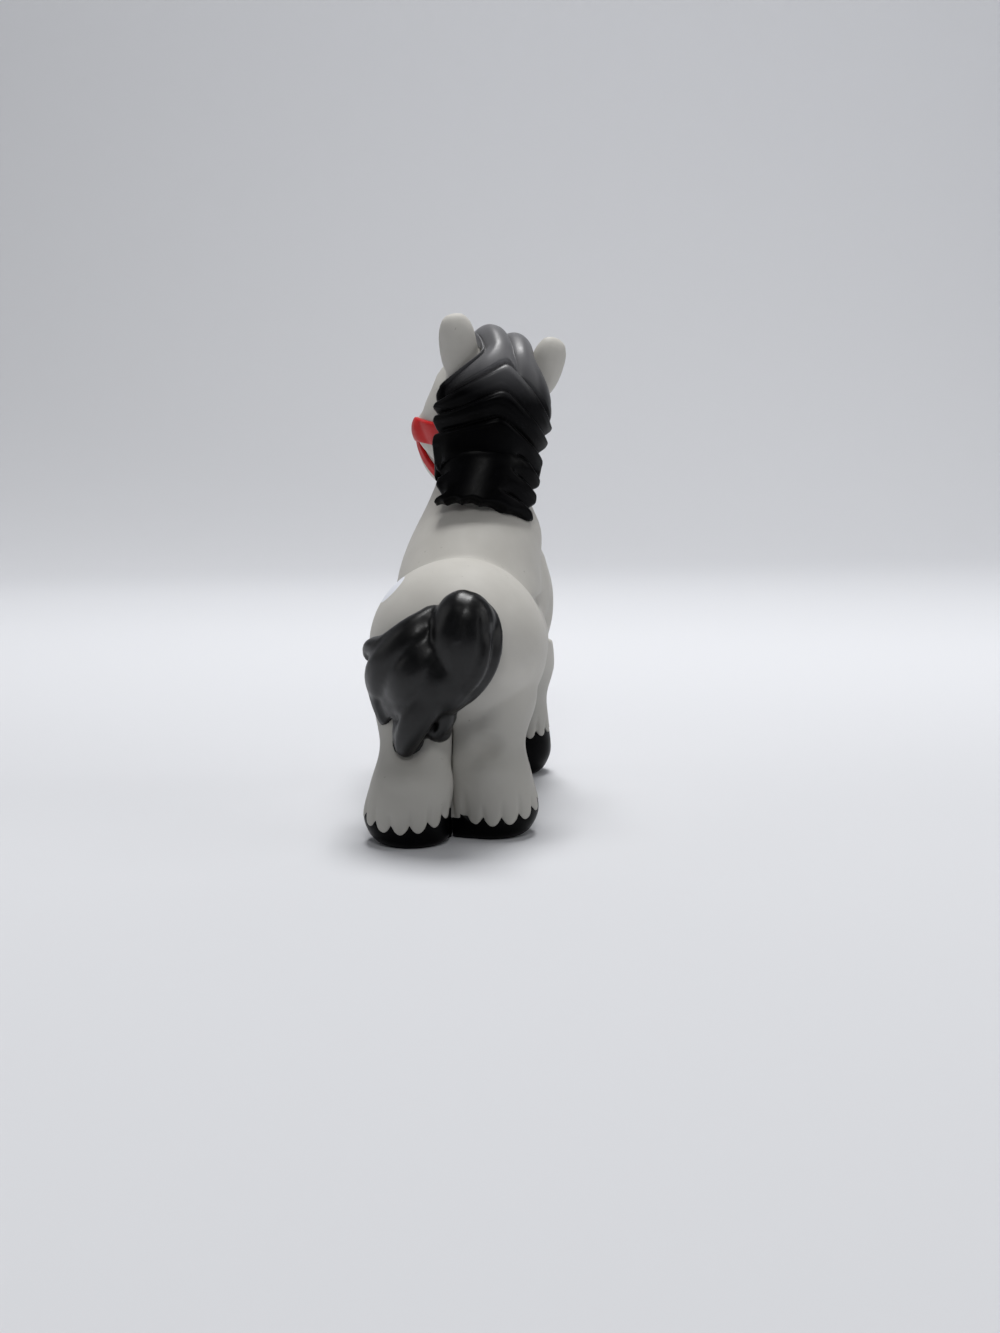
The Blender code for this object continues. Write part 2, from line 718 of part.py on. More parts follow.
def mane(skin):
    bm = bmesh.new()
    cape(bm, -WALL, mane_height, 0, 64, 37)
    hair = fused("mane", bm, HAIR_VOXEL, 2, 0.22)
    boolean(hair, mane_pegs(0), "UNION")
    cutter = grown(skin, GAP)
    holes = mane_pegs(GAP / 2)
    boolean(cutter, holes, "DIFFERENCE")
    return boolean(hair, cutter, "DIFFERENCE")


# Tail

def rump_surface(x, z):
    """Y of the haunch's rear at a sideways place and height."""
    across = (2 * x / HAUNCH_WIDTH) ** 2
    up = (2 * (z - HAUNCH_CENTRE_HEIGHT) / HAUNCH_DEPTH) ** 2
    return HAUNCH_BACK + HAUNCH_LENGTH / 2 * math.sqrt(max(0.02, 1 - across - up))


def tail_root():
    return Vector((0, rump_surface(0, TAIL_ROOT_HEIGHT), TAIL_ROOT_HEIGHT))


def tail_paths():
    """Each lock of the tail: its width and the stations it runs through, as shares of the tail's sizes.

    A station is its place to the left of the root, its height over the root and its stand-off.
    """
    return [
        (0.80, [(-0.05, 0.05, 0.4), (-0.38, 0.06, 1.0), (-0.53, -0.14, 1.0),
                (-0.46, -0.34, 0.8), (-0.22, -0.53, 0.6), (0.04, -0.64, 0.4)]),
        (1.03, [(-0.11, 0.08, 0.6), (-0.27, -0.05, 1.4), (-0.23, -0.26, 1.4),
                (0.05, -0.47, 1.2), (0.33, -0.71, 1.0), (0.50, -1.00, 0.8)]),
        (1.00, [(0.03, 0.09, 0.6), (0.13, -0.09, 1.2), (0.31, -0.29, 1.2),
                (0.52, -0.45, 1.0), (0.66, -0.58, 0.8), (0.75, -0.68, 0.6)]),
        (0.83, [(0.06, 0.08, 0.6), (0.36, -0.06, 1.0), (0.66, -0.23, 1.0),
                (0.85, -0.40, 1.0), (0.87, -0.59, 0.8), (0.79, -0.80, 0.6)]),
        (0.57, [(0.09, 0.08, 0.6), (0.40, -0.03, 0.8), (0.72, -0.17, 0.8),
                (0.94, -0.21, 0.8), (1.00, -0.31, 0.8)]),
        (0.51, [(0.08, -0.47, 0.4), (0.00, -0.59, 0.4), (0.02, -0.74, 0.4), (0.11, -0.83, 0.4)]),
    ]


def tail(skin):
    bm = bmesh.new()
    root = tail_root()
    width = 2 * TAIL_BULB_RADIUS
    ellipsoid(bm, root + Vector((-0.0019, 0.0036, 0.0002)), (1.09 * width, width, 1.23 * width))
    ellipsoid(bm, root + Vector((0.0036, 0.0022, -0.0072)), (1.9 * width, 1.15 * width, 1.8 * width), -20)
    ellipsoid(bm, root + Vector((0.0064, 0.0010, -0.0168)), (0.52 * width, 0.46 * width, 0.90 * width), -8)
    ellipsoid(bm, root + Vector((0.0009, 0.0008, -0.0154)), (0.52 * width, 0.46 * width, 0.52 * width))
    for width, stations in tail_paths():
        path, outward = [], []
        for swing, rise, stand_off in through(stations, 14):
            x = TAIL_SWING * swing
            z = root.z + TAIL_DROP * rise
            y = rump_surface(x, max(z, HAUNCH_CENTRE_HEIGHT - TAIL_DROP * 0.28))
            path.append(Vector((x, y + TAIL_STAND_OFF * stand_off, z)))
            outward.append(Vector((1.6 * x, HAUNCH_LENGTH / 2, 0.3 * TAIL_DROP * rise)).normalized())
        lock(bm, path, TAIL_LOCK_WIDTH * width, TAIL_LOCK_THICKNESS, outward)
    hair = fused("tail", bm, HAIR_VOXEL, 2, 0.20)
    boolean(hair, grown(skin, GAP), "DIFFERENCE")
    return boolean(hair, tail_peg(0), "UNION")


# Halter

def halter(skin):
    """A noseband round the muzzle with a cheekpiece that runs back to the mane on each side."""
    half = STRAP_WIDTH / 2
    bm = bmesh.new()
    reach = MUZZLE_DEPTH / 2 + STRAP_THICKNESS + GAP
    box(bm, (-MUZZLE_WIDTH, -NOSEBAND_FORWARD - half, MUZZLE_HEIGHT - reach),
        (MUZZLE_WIDTH, -NOSEBAND_FORWARD + half, MUZZLE_HEIGHT + reach), NOSEBAND_TILT)
    bands = object_from_bmesh("bands", bm)
    bm = bmesh.new()
    low, high = CHEEKPIECE_HEIGHT - half, CHEEKPIECE_HEIGHT + half
    box(bm, (-CUTTER_REACH, -NOSEBAND_FORWARD, low), (CUTTER_REACH, 0, high))
    boolean(bands, object_from_bmesh("cheekpieces", bm), "UNION")
    bm = bmesh.new()
    room = MANE_THICKNESS + LOCK_RELIEF + TUFT_RELIEF
    cape(bm, -SKULL_WIDTH / 4, lambda arc, share: room, HALTER_SETBACK)
    boolean(bands, object_from_bmesh("mane_room", bm), "DIFFERENCE")
    straps = grown(skin, GAP + STRAP_THICKNESS)
    boolean(straps, bands, "INTERSECT")
    straps.name = "halter"
    return boolean(straps, grown(skin, GAP), "DIFFERENCE")


# Pose of the head

def twist_line():
    """Where the neck's bend starts, and the direction up the neck in which it builds."""
    reach = Vector((0, -0.35, 0.94)).normalized()
    return Vector((0, -TWIST_FORWARD, TWIST_HEIGHT)) + reach * TWIST_START, reach


def twist_share(point):
    """How much of the head's turn reaches a point: 0 below the neck's root and 1 above its bend."""
    start, reach = twist_line()
    return smooth_step((point - start).dot(reach), 0, TWIST_LENGTH)


def cut_across_bend(obj):
    """Cuts the faces along planes across the neck's bend, so that both half shells bend alike."""
    start, reach = twist_line()
    steps = math.ceil(TWIST_LENGTH / BEND_STEP)
    bm = bmesh.new()
    bm.from_mesh(obj.data)
    for step in range(steps + 1):
        bmesh.ops.bisect_plane(
            bm, geom=[*bm.verts, *bm.edges, *bm.faces], dist=WELD_DISTANCE,
            plane_co=start + reach * (TWIST_LENGTH * step / steps), plane_no=reach,
        )
    bm.to_mesh(obj.data)
    bm.free()
    weld(obj)


def bend_neck(obj):
    """Turns and leans what lies above the neck's root."""
    cut_across_bend(obj)
    turn_axis = Vector((0, -TURN_AXIS_FORWARD, 0))
    lean_axis = Vector((0, 0, LEAN_AXIS_HEIGHT))
    for vertex in obj.data.vertices:
        share = twist_share(vertex.co)
        turn = Matrix.Rotation(math.radians(HEAD_TURN * share), 3, "Z")
        lean = Matrix.Rotation(-math.radians(HEAD_LEAN * share), 3, "Y")
        turned = turn @ (vertex.co - turn_axis) + turn_axis
        vertex.co = lean @ (turned - lean_axis) + lean_axis
    obj.data.update()


# Materials and finish

def material(name, colour, roughness):
    made = bpy.data.materials.new(name)
    made.use_nodes = True
    shader = made.node_tree.nodes["Principled BSDF"]
    shader.inputs["Base Color"].default_value = (*colour, 1)
    shader.inputs["Roughness"].default_value = roughness
    shader.inputs["Metallic"].default_value = 0
    return made


def finish(obj, paint):
    obj.data.materials.clear()
    obj.data.materials.append(paint)
    obj.data.shade_smooth()
    obj.data.set_sharp_from_angle(angle=math.radians(40))


def stand_on_origin(pieces):
    """Hangs the pieces on an empty that puts the middle of their footprint at the origin."""
    xs = [vertex.co.x for piece in pieces for vertex in piece.data.vertices]
    ys = [vertex.co.y for piece in pieces for vertex in piece.data.vertices]
    horse = bpy.data.objects.new("horse", None)
    bpy.context.scene.collection.objects.link(horse)
    horse.location = (-(min(xs) + max(xs)) / 2, -(min(ys) + max(ys)) / 2, 0)
    for piece in pieces:
        piece.parent = horse


def main():
    start_empty()
    skin = whole_skin()
    cavity = hollow(fused("cavity", body_volumes(WALL), CAVITY_VOXEL, 2, 0.20))
    body = legs_together(skin)
    grey, black, red = [], [], []
    for name, side in (("body_left_shell", 1), ("body_right_shell", -1)):
        half = copy_of(body, "half")
        boolean(half, half_space(side, PARTING_GAP / 2), "INTERSECT")
        grey.append(half_shell(name, side, half, cavity))
        for foot in feet():
            if foot.x * side > 0:
                black.append(hoof(foot, half))
        discard(half)
    black.append(mane(skin))
    black.append(tail(skin))
    red.append(halter(skin))
    discard(skin, body, cavity)
    paints = (
        (grey, material("grey_vinyl", (0.42, 0.41, 0.38), 0.55)),
        (black, material("black_vinyl", (0.012, 0.012, 0.014), 0.28)),
        (red, material("red_vinyl", (0.60, 0.03, 0.03), 0.35)),
    )
    for pieces, paint in paints:
        for piece in pieces:
            bend_neck(piece)
            finish(piece, paint)
    stand_on_origin(grey + black + red)


main()
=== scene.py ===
"""Looks of the toy farm horse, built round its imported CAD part.

Each CAD node is replaced by a finer mesh: the same masses, fused at a finer step and then sculpted.
As in the CAD, everything is modelled with a straight neck, and bend() then turns and leans the head.
Metres, +Z up. The horse faces -Y, so its left side is +X.
"""

from collections import namedtuple
from math import copysign, cos, floor, hypot, pi, radians, sin, sqrt, tan

import bmesh
import bpy
import numpy as np
from bmesh.types import BMEdge, BMVert
from mathutils import Matrix, Vector
from mathutils.bvhtree import BVHTree


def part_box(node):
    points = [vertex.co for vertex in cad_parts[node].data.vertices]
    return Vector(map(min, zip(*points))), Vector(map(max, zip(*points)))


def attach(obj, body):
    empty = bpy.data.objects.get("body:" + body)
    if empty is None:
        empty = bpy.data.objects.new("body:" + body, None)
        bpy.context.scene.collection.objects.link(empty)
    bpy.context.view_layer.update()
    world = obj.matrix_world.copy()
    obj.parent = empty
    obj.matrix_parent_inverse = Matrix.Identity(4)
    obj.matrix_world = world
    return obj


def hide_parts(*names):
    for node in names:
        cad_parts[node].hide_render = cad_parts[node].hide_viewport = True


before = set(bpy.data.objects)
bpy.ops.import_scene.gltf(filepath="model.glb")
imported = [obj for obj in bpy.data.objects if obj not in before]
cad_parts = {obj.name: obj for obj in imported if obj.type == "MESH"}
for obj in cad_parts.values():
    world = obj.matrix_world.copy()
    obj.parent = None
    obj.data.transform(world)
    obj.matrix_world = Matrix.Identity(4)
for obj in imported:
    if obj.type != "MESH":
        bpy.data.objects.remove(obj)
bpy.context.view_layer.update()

Mass = namedtuple("Mass", "y z width length depth")
Foot = namedtuple("Foot", "name x y hip_y radius hair_behind hair_before")
ManeSide = namedtuple("ManeSide", "wrap wrap_end corner full_from full_to between tip")

# Steps of the fine meshes, and how often each is smoothed
SKIN_VOXEL = 0.00042
SKIN_PASSES = 16
TAIL_VOXEL = 0.00030
TAIL_PASSES = 26

# Gap that the CAD leaves between the body halves
PARTING_GAP = 0.0004

# Masses of the trunk and the head
HAUNCH = Mass(0.0130, 0.0300, 0.0294, 0.0280, 0.0290)
BARREL = Mass(0, 0.0290, 0.0276, 0.0450, 0.0250)
CHEST = Mass(-0.0130, 0.0345, 0.0274, 0.0280, 0.0330)
SKULL = Mass(-0.0140, 0.0685, 0.0200, 0.0240, 0.0235)
CHEEK = Mass(-0.0180, 0.0632, 0.0196, 0.0150, 0.0150)
NOSE = Mass(-0.0228, 0.0650, 0.0150, 0.0156, 0.0156)
MUZZLE = Mass(-0.0285, 0.0600, 0.0162, 0.0178, 0.0152)

# Fullness of the cheeks at the sides of the skull
CHEEK_HALF_LENGTH = 0.0110
CHEEK_HALF_HEIGHT = 0.0078
CHEEK_FILL = 0.0013

# Neck
NECK_BASE_HEIGHT = 0.0370
NECK_BASE_WIDTH = 0.0252
NECK_BASE_LENGTH = 0.0357
NECK_BASE_FORWARD = 0.0009
NECK_WIDTH = 0.0164
NECK_LENGTH = 0.0190
NECK_FORWARD = 0.0108
NECK_ROOT_SHIFT = 0.0013

# Ears
EAR = Mass(-0.0092, 0.0777, 0.0068, 0.0046, 0.0128)
EAR_SPREAD = 0.0079
EAR_SPLAY_LEFT = 19
EAR_SPLAY_RIGHT = 10
RIGHT_EAR_SHARE = 0.92
EAR_BLUNT = 2.6
EAR_CUP = 0.62

# Hocks: a dent over a ridge behind each hind leg
HOCK_HEIGHT = 0.0155
HOCK_DEPTH = 0.0009
HOCK_HALF_WIDTH = 0.0034
HOCK_HALF_HEIGHT = 0.0026
HOCK_RIDGE_HEIGHT = 0.0112
HOCK_RIDGE = 0.0005
HOCK_RIDGE_HALF_HEIGHT = 0.0026

# Creases at the stifle and the shoulder, each with the place, height and slope of its line, and its middle
# and half height. Below them the knees.
CREASES = ((0.0035, 0.022, 0.35, 0.0240, 0.0110), (-0.0060, 0.026, -0.55, 0.0300, 0.0140))
CREASE_DEPTH = 0.00038
CREASE_HALF_WIDTH = 0.0024
KNEE_SPREAD = 0.0060
KNEE_HEIGHT = 0.0155
KNEE_HALF_WIDTH = 0.0040
KNEE_HALF_HEIGHT = 0.0032
KNEE_BULGE = 0.00035

# Face
EYE_FORWARD = 0.0212
EYE_HEIGHT = 0.0692
EYE_HALF_WIDTH = 0.0021
EYE_HALF_HEIGHT = 0.0027
EYE_BULGE = 0.0005
EYE_SIDE = 0.004
BROW_RISE = 0.00035
BROW_HALF_HEIGHT = 0.0011
NOSTRIL_SPREAD = 0.0036
NOSTRIL_HEIGHT = 0.0622
NOSTRIL_RADIUS = 0.0011
NOSTRIL_DEPTH = 0.0007
NOSTRIL_RIM = 0.0004
MOUTH_HEIGHT = 0.0566
MOUTH_BACK_END = 0.0300
MOUTH_DEPTH = 0.0004
MOUTH_HALF_WIDTH = 0.00045
MOUTH_TOP = 0.0605

# Legs
REAR = (0.0150, 0.0070, 0.0032, 0.0078)
FRONT = (-0.0185, 0.0061, 0.0080, 0.0098)
FEET = (
    Foot("rear_left", 0.0069, 0.0252, *REAR),
    Foot("rear_right", -0.0069, 0.0180, *REAR),
    Foot("front_left", 0.0061, -0.0250, *FRONT),
    Foot("front_right", -0.0061, -0.0300, *FRONT),
)
PASTERN_SPREAD = 0.0060
HIP_SPREAD = 0.0069
SOLE_TUCK = 0.0008
SOLE_INWARD = 0.0008
FETLOCK_TUCK = 0.0003
PASTERN_RADIUS = 0.0055
THIGH_RADIUS = 0.0063
HOOF_WIDEST_HEIGHT = 0.0042
FETLOCK_HEIGHT = 0.0096
PASTERN_HEIGHT = 0.0152
THIGH_HEIGHT = 0.0215
HIP_HEIGHT = 0.0270

# The hind legs touch along the middle plane
TOUCH_REACH = 0.0046
TOUCH_FRONT = 0.0135
TOUCH_BACK = 0.0245
TOUCH_TOP = 0.0235
TOUCH_FADE = 0.0025
TOUCH_OPENING = 0.05
TOUCH_CROSSING = 0.0004

# Hair edge over each hoof
SCALLOPS = 14
SCALLOP_HEIGHT = 0.0012
TUFT_GROOVE_DEPTH = 0.00042
TUFT_GROOVE_LENGTH = 0.0052
HAIR_LIP = 0.00012
HAIR_UNDERCUT = 0.0012
HOOF_GAP = 0.00003
HOOF_INSET = 0.00016
HOOF_TUCK_INSET = 0.00050
HOOF_TUCK_HEIGHT = 0.0010
SOLE_ROUNDING = 0.0014

# Mane, whose angles are degrees round from the crest
MANE_LEFT = ManeSide(wrap=70, wrap_end=45, corner=-5, full_from=0, full_to=0.40, between=27, tip=1.0)
MANE_RIGHT = ManeSide(wrap=75, wrap_end=61, corner=5, full_from=0.35, full_to=1.05, between=35, tip=4.0)
MANE_THICKNESS = 0.0010
MANE_BOTTOM_HEIGHT = 0.0542
POLL_HEIGHT = 0.0740
LOCK_START = 0.0025
LOCK_PITCH = 0.0042
LOCK_DROP = 0.0092
LOCK_END_DROP = 0.0030
LOCK_PARTING = 0.08
LOCK_APEX = 0.09
LOCK_RELIEF = 0.0015
LOCK_LIP = 0.50
RAISED_ROWS = 2
TUFT_RELIEF = 0.0019
TUFT_LOBES = ((-1.0, -0.15, 0.84), (-0.15, 0.84, 1.0), (0.84, 1.0, 0.62))
MANE_HANG = 0.0022
STRAND_DEPTH = 0.00003
MANE_ROWS = 240
MANE_COLUMNS = 160
MANE_EDGE = 0.00045
MANE_ROUNDING = 0.0009
MANE_RAGGED = 0.0004
MANE_RADIUS = 0.009
MANE_END = 0.965
SKIN_SEARCH = 0.012
SKIN_REACH = 0.020
SEAT_GAP = 0.00003

# Tail
TAIL_ROOT_HEIGHT = 0.0357
TAIL_BULB_RADIUS = 0.0042
TAIL_DROP = 0.0212
TAIL_SWING = 0.0128
TAIL_STAND_OFF = 0.0050
TAIL_LOCK_WIDTH = 0.0070
TAIL_LOCK_THICKNESS = 0.0046
TAIL_STRAND_DEPTH = 0.00006
LOCK_SIDES = 20

# Masses of the tail: place from its root, size as shares of the bulb's width, and splay
TAIL_MASSES = (
    ((-0.0031, 0.0038, 0.0001), (1.16, 1.06, 1.26), 0),
    ((-0.0028, 0.0038, -0.0022), (1.22, 1.14, 1.84), 0),
    ((0.0004, 0.0031, -0.0078), (1.36, 1.07, 1.58), 0),
    ((0.0044, 0.0028, -0.0070), (1.30, 0.96, 1.25), -20),
    ((0.0050, 0.0020, -0.0118), (0.90, 0.80, 1.10), 0),
    ((0.0062, 0.0010, -0.0176), (0.64, 0.52, 1.06), -3),
    ((0.0004, 0.0012, -0.0148), (0.50, 0.48, 0.50), 0),
    ((0.0014, 0.0009, -0.0172), (0.54, 0.48, 0.50), 0),
)

# Locks of the tail: width, and stations as shares of the tail's sizes. A station is a place to the left of
# the root, a height over the root and a stand-off.
TAIL_LOCKS = (
    (0.46, ((-0.28, 0.16, 0.2), (-0.50, 0.04, 0.6), (-0.565, -0.14, 0.8),
            (-0.49, -0.34, 0.8), (-0.27, -0.53, 0.6), (0.02, -0.65, 0.4))),
    (0.42, ((-0.20, 0.14, 0.5), (-0.40, 0.01, 1.0), (-0.455, -0.16, 1.1),
            (-0.38, -0.34, 1.0), (-0.18, -0.50, 0.8), (0.04, -0.60, 0.6))),
    (0.84, ((0.02, -0.10, 0.4), (0.00, -0.28, 0.8), (0.14, -0.50, 1.0),
            (0.36, -0.72, 1.0), (0.49, -0.88, 0.9), (0.53, -1.00, 0.8))),
    (1.00, ((0.05, 0.00, 0.4), (0.20, -0.18, 0.8), (0.36, -0.33, 1.0),
            (0.52, -0.47, 1.0), (0.66, -0.60, 0.8), (0.75, -0.70, 0.6))),
    (0.83, ((0.10, 0.06, 0.5), (0.36, -0.07, 0.9), (0.66, -0.24, 1.0),
            (0.85, -0.40, 1.0), (0.87, -0.59, 0.8), (0.79, -0.80, 0.6))),
    (0.57, ((0.09, 0.08, 0.5), (0.40, -0.03, 0.8), (0.72, -0.17, 0.8),
            (0.94, -0.21, 0.8), (1.00, -0.31, 0.8))),
    (0.51, ((0.08, -0.47, 0.4), (0.00, -0.59, 0.4), (0.02, -0.74, 0.4), (0.11, -0.83, 0.4))),
)

# Halter
STRAP_WIDTH = 0.0034
STRAP_THICKNESS = 0.0006
NOSEBAND_WIDTH = 0.0022
CHEEKPIECE_WIDTH = 0.0040
STRAP_ROUNDING = 0.00045
STRAP_POINTS = 17
NOSEBAND_ROWS = 144
CHEEKPIECE_ROWS = 60
NOSEBAND_FORWARD = 0.0262
NOSEBAND_TILT = 27
CHEEKPIECE_HEIGHT = 0.0628

# Pose of the head
HEAD_TURN = 21.5
HEAD_LEAN = 10.5
TWIST_HEIGHT = 0.0440
TWIST_FORWARD = 0.0070
TWIST_START = 0.0010
TWIST_LENGTH = 0.0120
TURN_AXIS_FORWARD = 0.0100
LEAN_AXIS_HEIGHT = 0.0520

# Pale painted spots, one low on the left of the rump and two on the flank: centre and half sizes
DAPPLES = (
    ((0.0134, 0.0155, 0.0405), (0.0052, 0.0040, 0.0032)),
    ((0.0140, 0.0060, 0.0360), (0.0040, 0.0022, 0.0024)),
    ((0.0140, -0.0020, 0.0300), (0.0040, 0.0020, 0.0021)),
)

# Heights from which the tuft gets a painted grey sheen, and below which the legs get painted shade
TUFT_SHEEN_HEIGHT = 0.0705
TUFT_SHEEN_FADE = 0.0080
SHADE_LOW = 0.016
SHADE_HIGH = 0.027

# Paper sweep
PAPER = (0.80, 0.81, 0.84)
PAPER_GRAIN = 1.03
# Painted shade at the left of the wall and on the near floor
WALL_PAINTED_SHADE = 0.80
NEAR_FLOOR_SHADE = 0.13
SWEEP_HALF_WIDTH = 2.5
SWEEP_NEAR_END = 0.24
SWEEP_BEND = -0.44
SWEEP_RADIUS = 0.26
SWEEP_HEIGHT = 2.0
SWEEP_SKEW = 18

# Strength of the room's light on the horse, and of the room as it is seen
ROOM_LIGHT = 0.07
ROOM_SEEN = 0.62

# Camera, in the straight-neck frame of the CAD
PHOTO_HEIGHT = 1333
FOCAL_PIXELS = 1760
CAMERA_AZIMUTH = 186.0
CAMERA_PITCH = 8.6
CAMERA_PLACE = (-0.03681, 0.29765, 0.0700)
SENSOR = 36.0


# Small helpers

def object_from(name, data):
    obj = bpy.data.objects.new(name, data)
    bpy.context.scene.collection.objects.link(obj)
    return obj


def object_from_bmesh(name, bm):
    mesh = bpy.data.meshes.new(name)
    bmesh.ops.recalc_face_normals(bm, faces=bm.faces)
    bm.to_mesh(mesh)
    bm.free()
    return object_from(name, mesh)


def bmesh_from(*objects):
    bm = bmesh.new()
    for obj in objects:
        bm.from_mesh(obj.data)
    return bm


def discard(*objects):
    for obj in objects:
        bpy.data.objects.remove(obj, do_unlink=True)


def read_points(mesh, kind="co"):
    points = np.empty(len(mesh.vertices) * 3)
    mesh.vertices.foreach_get(kind, points)
    return points.reshape(-1, 3)


def read_normals(mesh):
    return read_points(mesh, "normal")


def write_points(mesh, points):
    mesh.vertices.foreach_set("co", points.ravel())
    mesh.update()


def smooth_step(value, low, high):
    share = np.clip((value - low) / (high - low), 0.0, 1.0)
    return share * share * (3 - 2 * share)


def ease(value, low, high):
    """The smooth step of one number."""
    return float(smooth_step(value, low, high))


def mix(a, b, share):
    return a + (b - a) * share


def turned(a, b, angle):
    return a * np.cos(angle) - b * np.sin(angle), a * np.sin(angle) + b * np.cos(angle)


def through(points, samples):
    """Points along a smooth curve through the given points, which are tuples of any length."""
    last = len(points) - 1
    curve = []
    for step in range(samples):
        place = last * step / (samples - 1)
        i = min(int(place), last - 1)
        t = place - i
        a, b, c, d = (points[min(last, max(0, i + k))] for k in (-1, 0, 1, 2))
        curve.append(tuple(
            0.5 * (2 * q + (r - p) * t + (2 * p - 5 * q + 4 * r - s) * t * t
                   + (3 * q - p - 3 * r + s) * t ** 3)
            for p, q, r, s in zip(a, b, c, d)
        ))
    return curve


def bump(distance):
    """A smooth hill that is 1 at distance 0 and reaches 0 at distance 1."""
    return np.where(distance < 1, (1 - np.minimum(distance, 1) ** 2) ** 2, 0.0)


# Shapes that bodies are made of

def ellipsoid(bm, centre, size, splay=0.0):
    matrix = (
        Matrix.Translation(centre)
        @ Matrix.Rotation(radians(splay), 4, "Y")
        @ Matrix.Diagonal((size[0] / 2, size[1] / 2, size[2] / 2, 1))
    )
    bmesh.ops.create_uvsphere(bm, u_segments=64, v_segments=40, radius=1, matrix=matrix)


def tube(bm, rings, closed=False):
    """A tube through rings of points, all with as many points: capped, or closed on itself."""
    loops = [[bm.verts.new(point) for point in ring] for ring in rings]
    count = len(loops[0])
    for before, after in zip(loops, loops[1:] + loops[:1] * closed):
        for i in range(count):
            j = (i + 1) % count
            bm.faces.new((before[i], before[j], after[j], after[i]))
    if not closed:
        bm.faces.new(list(reversed(loops[0])))
        bm.faces.new(loops[-1])


def oval_ring(centre, across, along, sides=48):
    ring = []
    for i in range(sides):
        turn = 2 * pi * i / sides
        ring.append(Vector(centre) + Vector(across) * cos(turn) + Vector(along) * sin(turn))
    return ring


def level_ring(x, y, z, half_width, half_length):
    return oval_ring((x, y, z), (half_width, 0, 0), (0, half_length, 0))


def lock(bm, path, width, thickness, outward):
    """A lock of hair along path: oval in section, tapered at both ends, flat side against outward."""
    rings = []
    for i, point in enumerate(path):
        side, normal, taper = lock_section(path, outward, i)
        across, up = side * (width / 2 * taper), normal * (thickness / 2 * taper)
        rings.append(oval_ring(point, across, up, LOCK_SIDES))
    tube(bm, rings)


def lock_section(path, outward, i):
    """Sideways and outward directions and the taper of a lock at one point of its path."""
    last = len(path) - 1
    tangent = (Vector(path[min(last, i + 1)]) - Vector(path[max(0, i - 1)])).normalized()
    normal = outward[i] - tangent * outward[i].dot(tangent)
    normal.normalize()
    taper = 0.30 + 0.70 * sin(pi * min(1.0, 0.18 + 0.80 * i / last)) ** 0.7
    return tangent.cross(normal), normal, taper


def keep_largest(bm):
    """Removes the crumbs of a mesh, and keeps its largest connected part."""
    seen = set()
    parts = []
    for start in bm.faces:
        if start in seen:
            continue
        seen.add(start)
        part = [start]
        for face in part:
            for edge in face.edges:
                for other in edge.link_faces if len(edge.link_faces) == 2 else ():
                    if other not in seen:
                        seen.add(other)
                        part.append(other)
        parts.append(part)
    largest = max(parts, key=len)
    crumbs = [face for part in parts if part is not largest for face in part]
    bmesh.ops.delete(bm, geom=crumbs, context="FACES")


def fused(name, bm, voxel, passes):
    """One smooth closed skin round everything in bm."""
    obj = object_from_bmesh(name, bm)
    remesh = obj.modifiers.new("remesh", "REMESH")
    remesh.mode = "VOXEL"
    remesh.voxel_size = voxel
    smooth = obj.modifiers.new("smooth", "SMOOTH")
    smooth.factor = 0.5
    smooth.iterations = passes
    bpy.context.view_layer.update()
    graph = bpy.context.evaluated_depsgraph_get()
    obj.data = bpy.data.meshes.new_from_object(obj.evaluated_get(graph))
    obj.modifiers.clear()
    bm = bmesh_from(obj)
    keep_largest(bm)
    bm.to_mesh(obj.data)
    bm.free()
    return obj


# Body volumes

def leg_stations(foot, samples):
    """X, Y, height and radius up the leg."""
    sole = foot.radius - SOLE_TUCK
    side = copysign(1, foot.x)
    stations = []
    for height, radius, spread, share in (
        (-0.0010, sole - 0.0008, side * foot.x - SOLE_INWARD, 0.0),
        (0.0004, sole, side * foot.x - SOLE_INWARD, 0.0),
        (HOOF_WIDEST_HEIGHT, foot.radius, side * foot.x, 0.0),
        (FETLOCK_HEIGHT, foot.radius - FETLOCK_TUCK, PASTERN_SPREAD, 0.04),
        (PASTERN_HEIGHT, PASTERN_RADIUS, PASTERN_SPREAD, 0.25),
        (THIGH_HEIGHT, THIGH_RADIUS, HIP_SPREAD, 0.65),
        (HIP_HEIGHT, THIGH_RADIUS, HIP_SPREAD, 1.0),
    ):
        stations.append((side * spread, mix(foot.y, foot.hip_y, share), height, radius))
    return through(stations, samples)


def leg(bm, foot):
    tube(bm, [level_ring(x, y, z, radius, radius) for x, y, z, radius in leg_stations(foot, 40)])


def neck(bm):
    middle_height = mix(NECK_BASE_HEIGHT, SKULL.z, 0.5)
    stations = [
        (NECK_BASE_FORWARD, NECK_BASE_HEIGHT, NECK_BASE_WIDTH, NECK_BASE_LENGTH),
        (mix(NECK_BASE_FORWARD, NECK_FORWARD, 0.6), mix(NECK_BASE_HEIGHT, middle_height, 0.62),
         mix(NECK_BASE_WIDTH, NECK_WIDTH, 0.30), mix(NECK_BASE_LENGTH, NECK_LENGTH, 0.45)),
        (NECK_FORWARD, middle_height + 0.0020, NECK_WIDTH, NECK_LENGTH),
        (mix(NECK_FORWARD, -SKULL.y, 0.5), mix(middle_height, SKULL.z, 0.6), NECK_WIDTH, NECK_LENGTH),
        (-SKULL.y, SKULL.z, NECK_WIDTH, NECK_LENGTH),
    ]
    tube(bm, [
        level_ring(0, -forward, height, width / 2, length / 2)
        for forward, height, width, length in through(stations, 28)
    ])


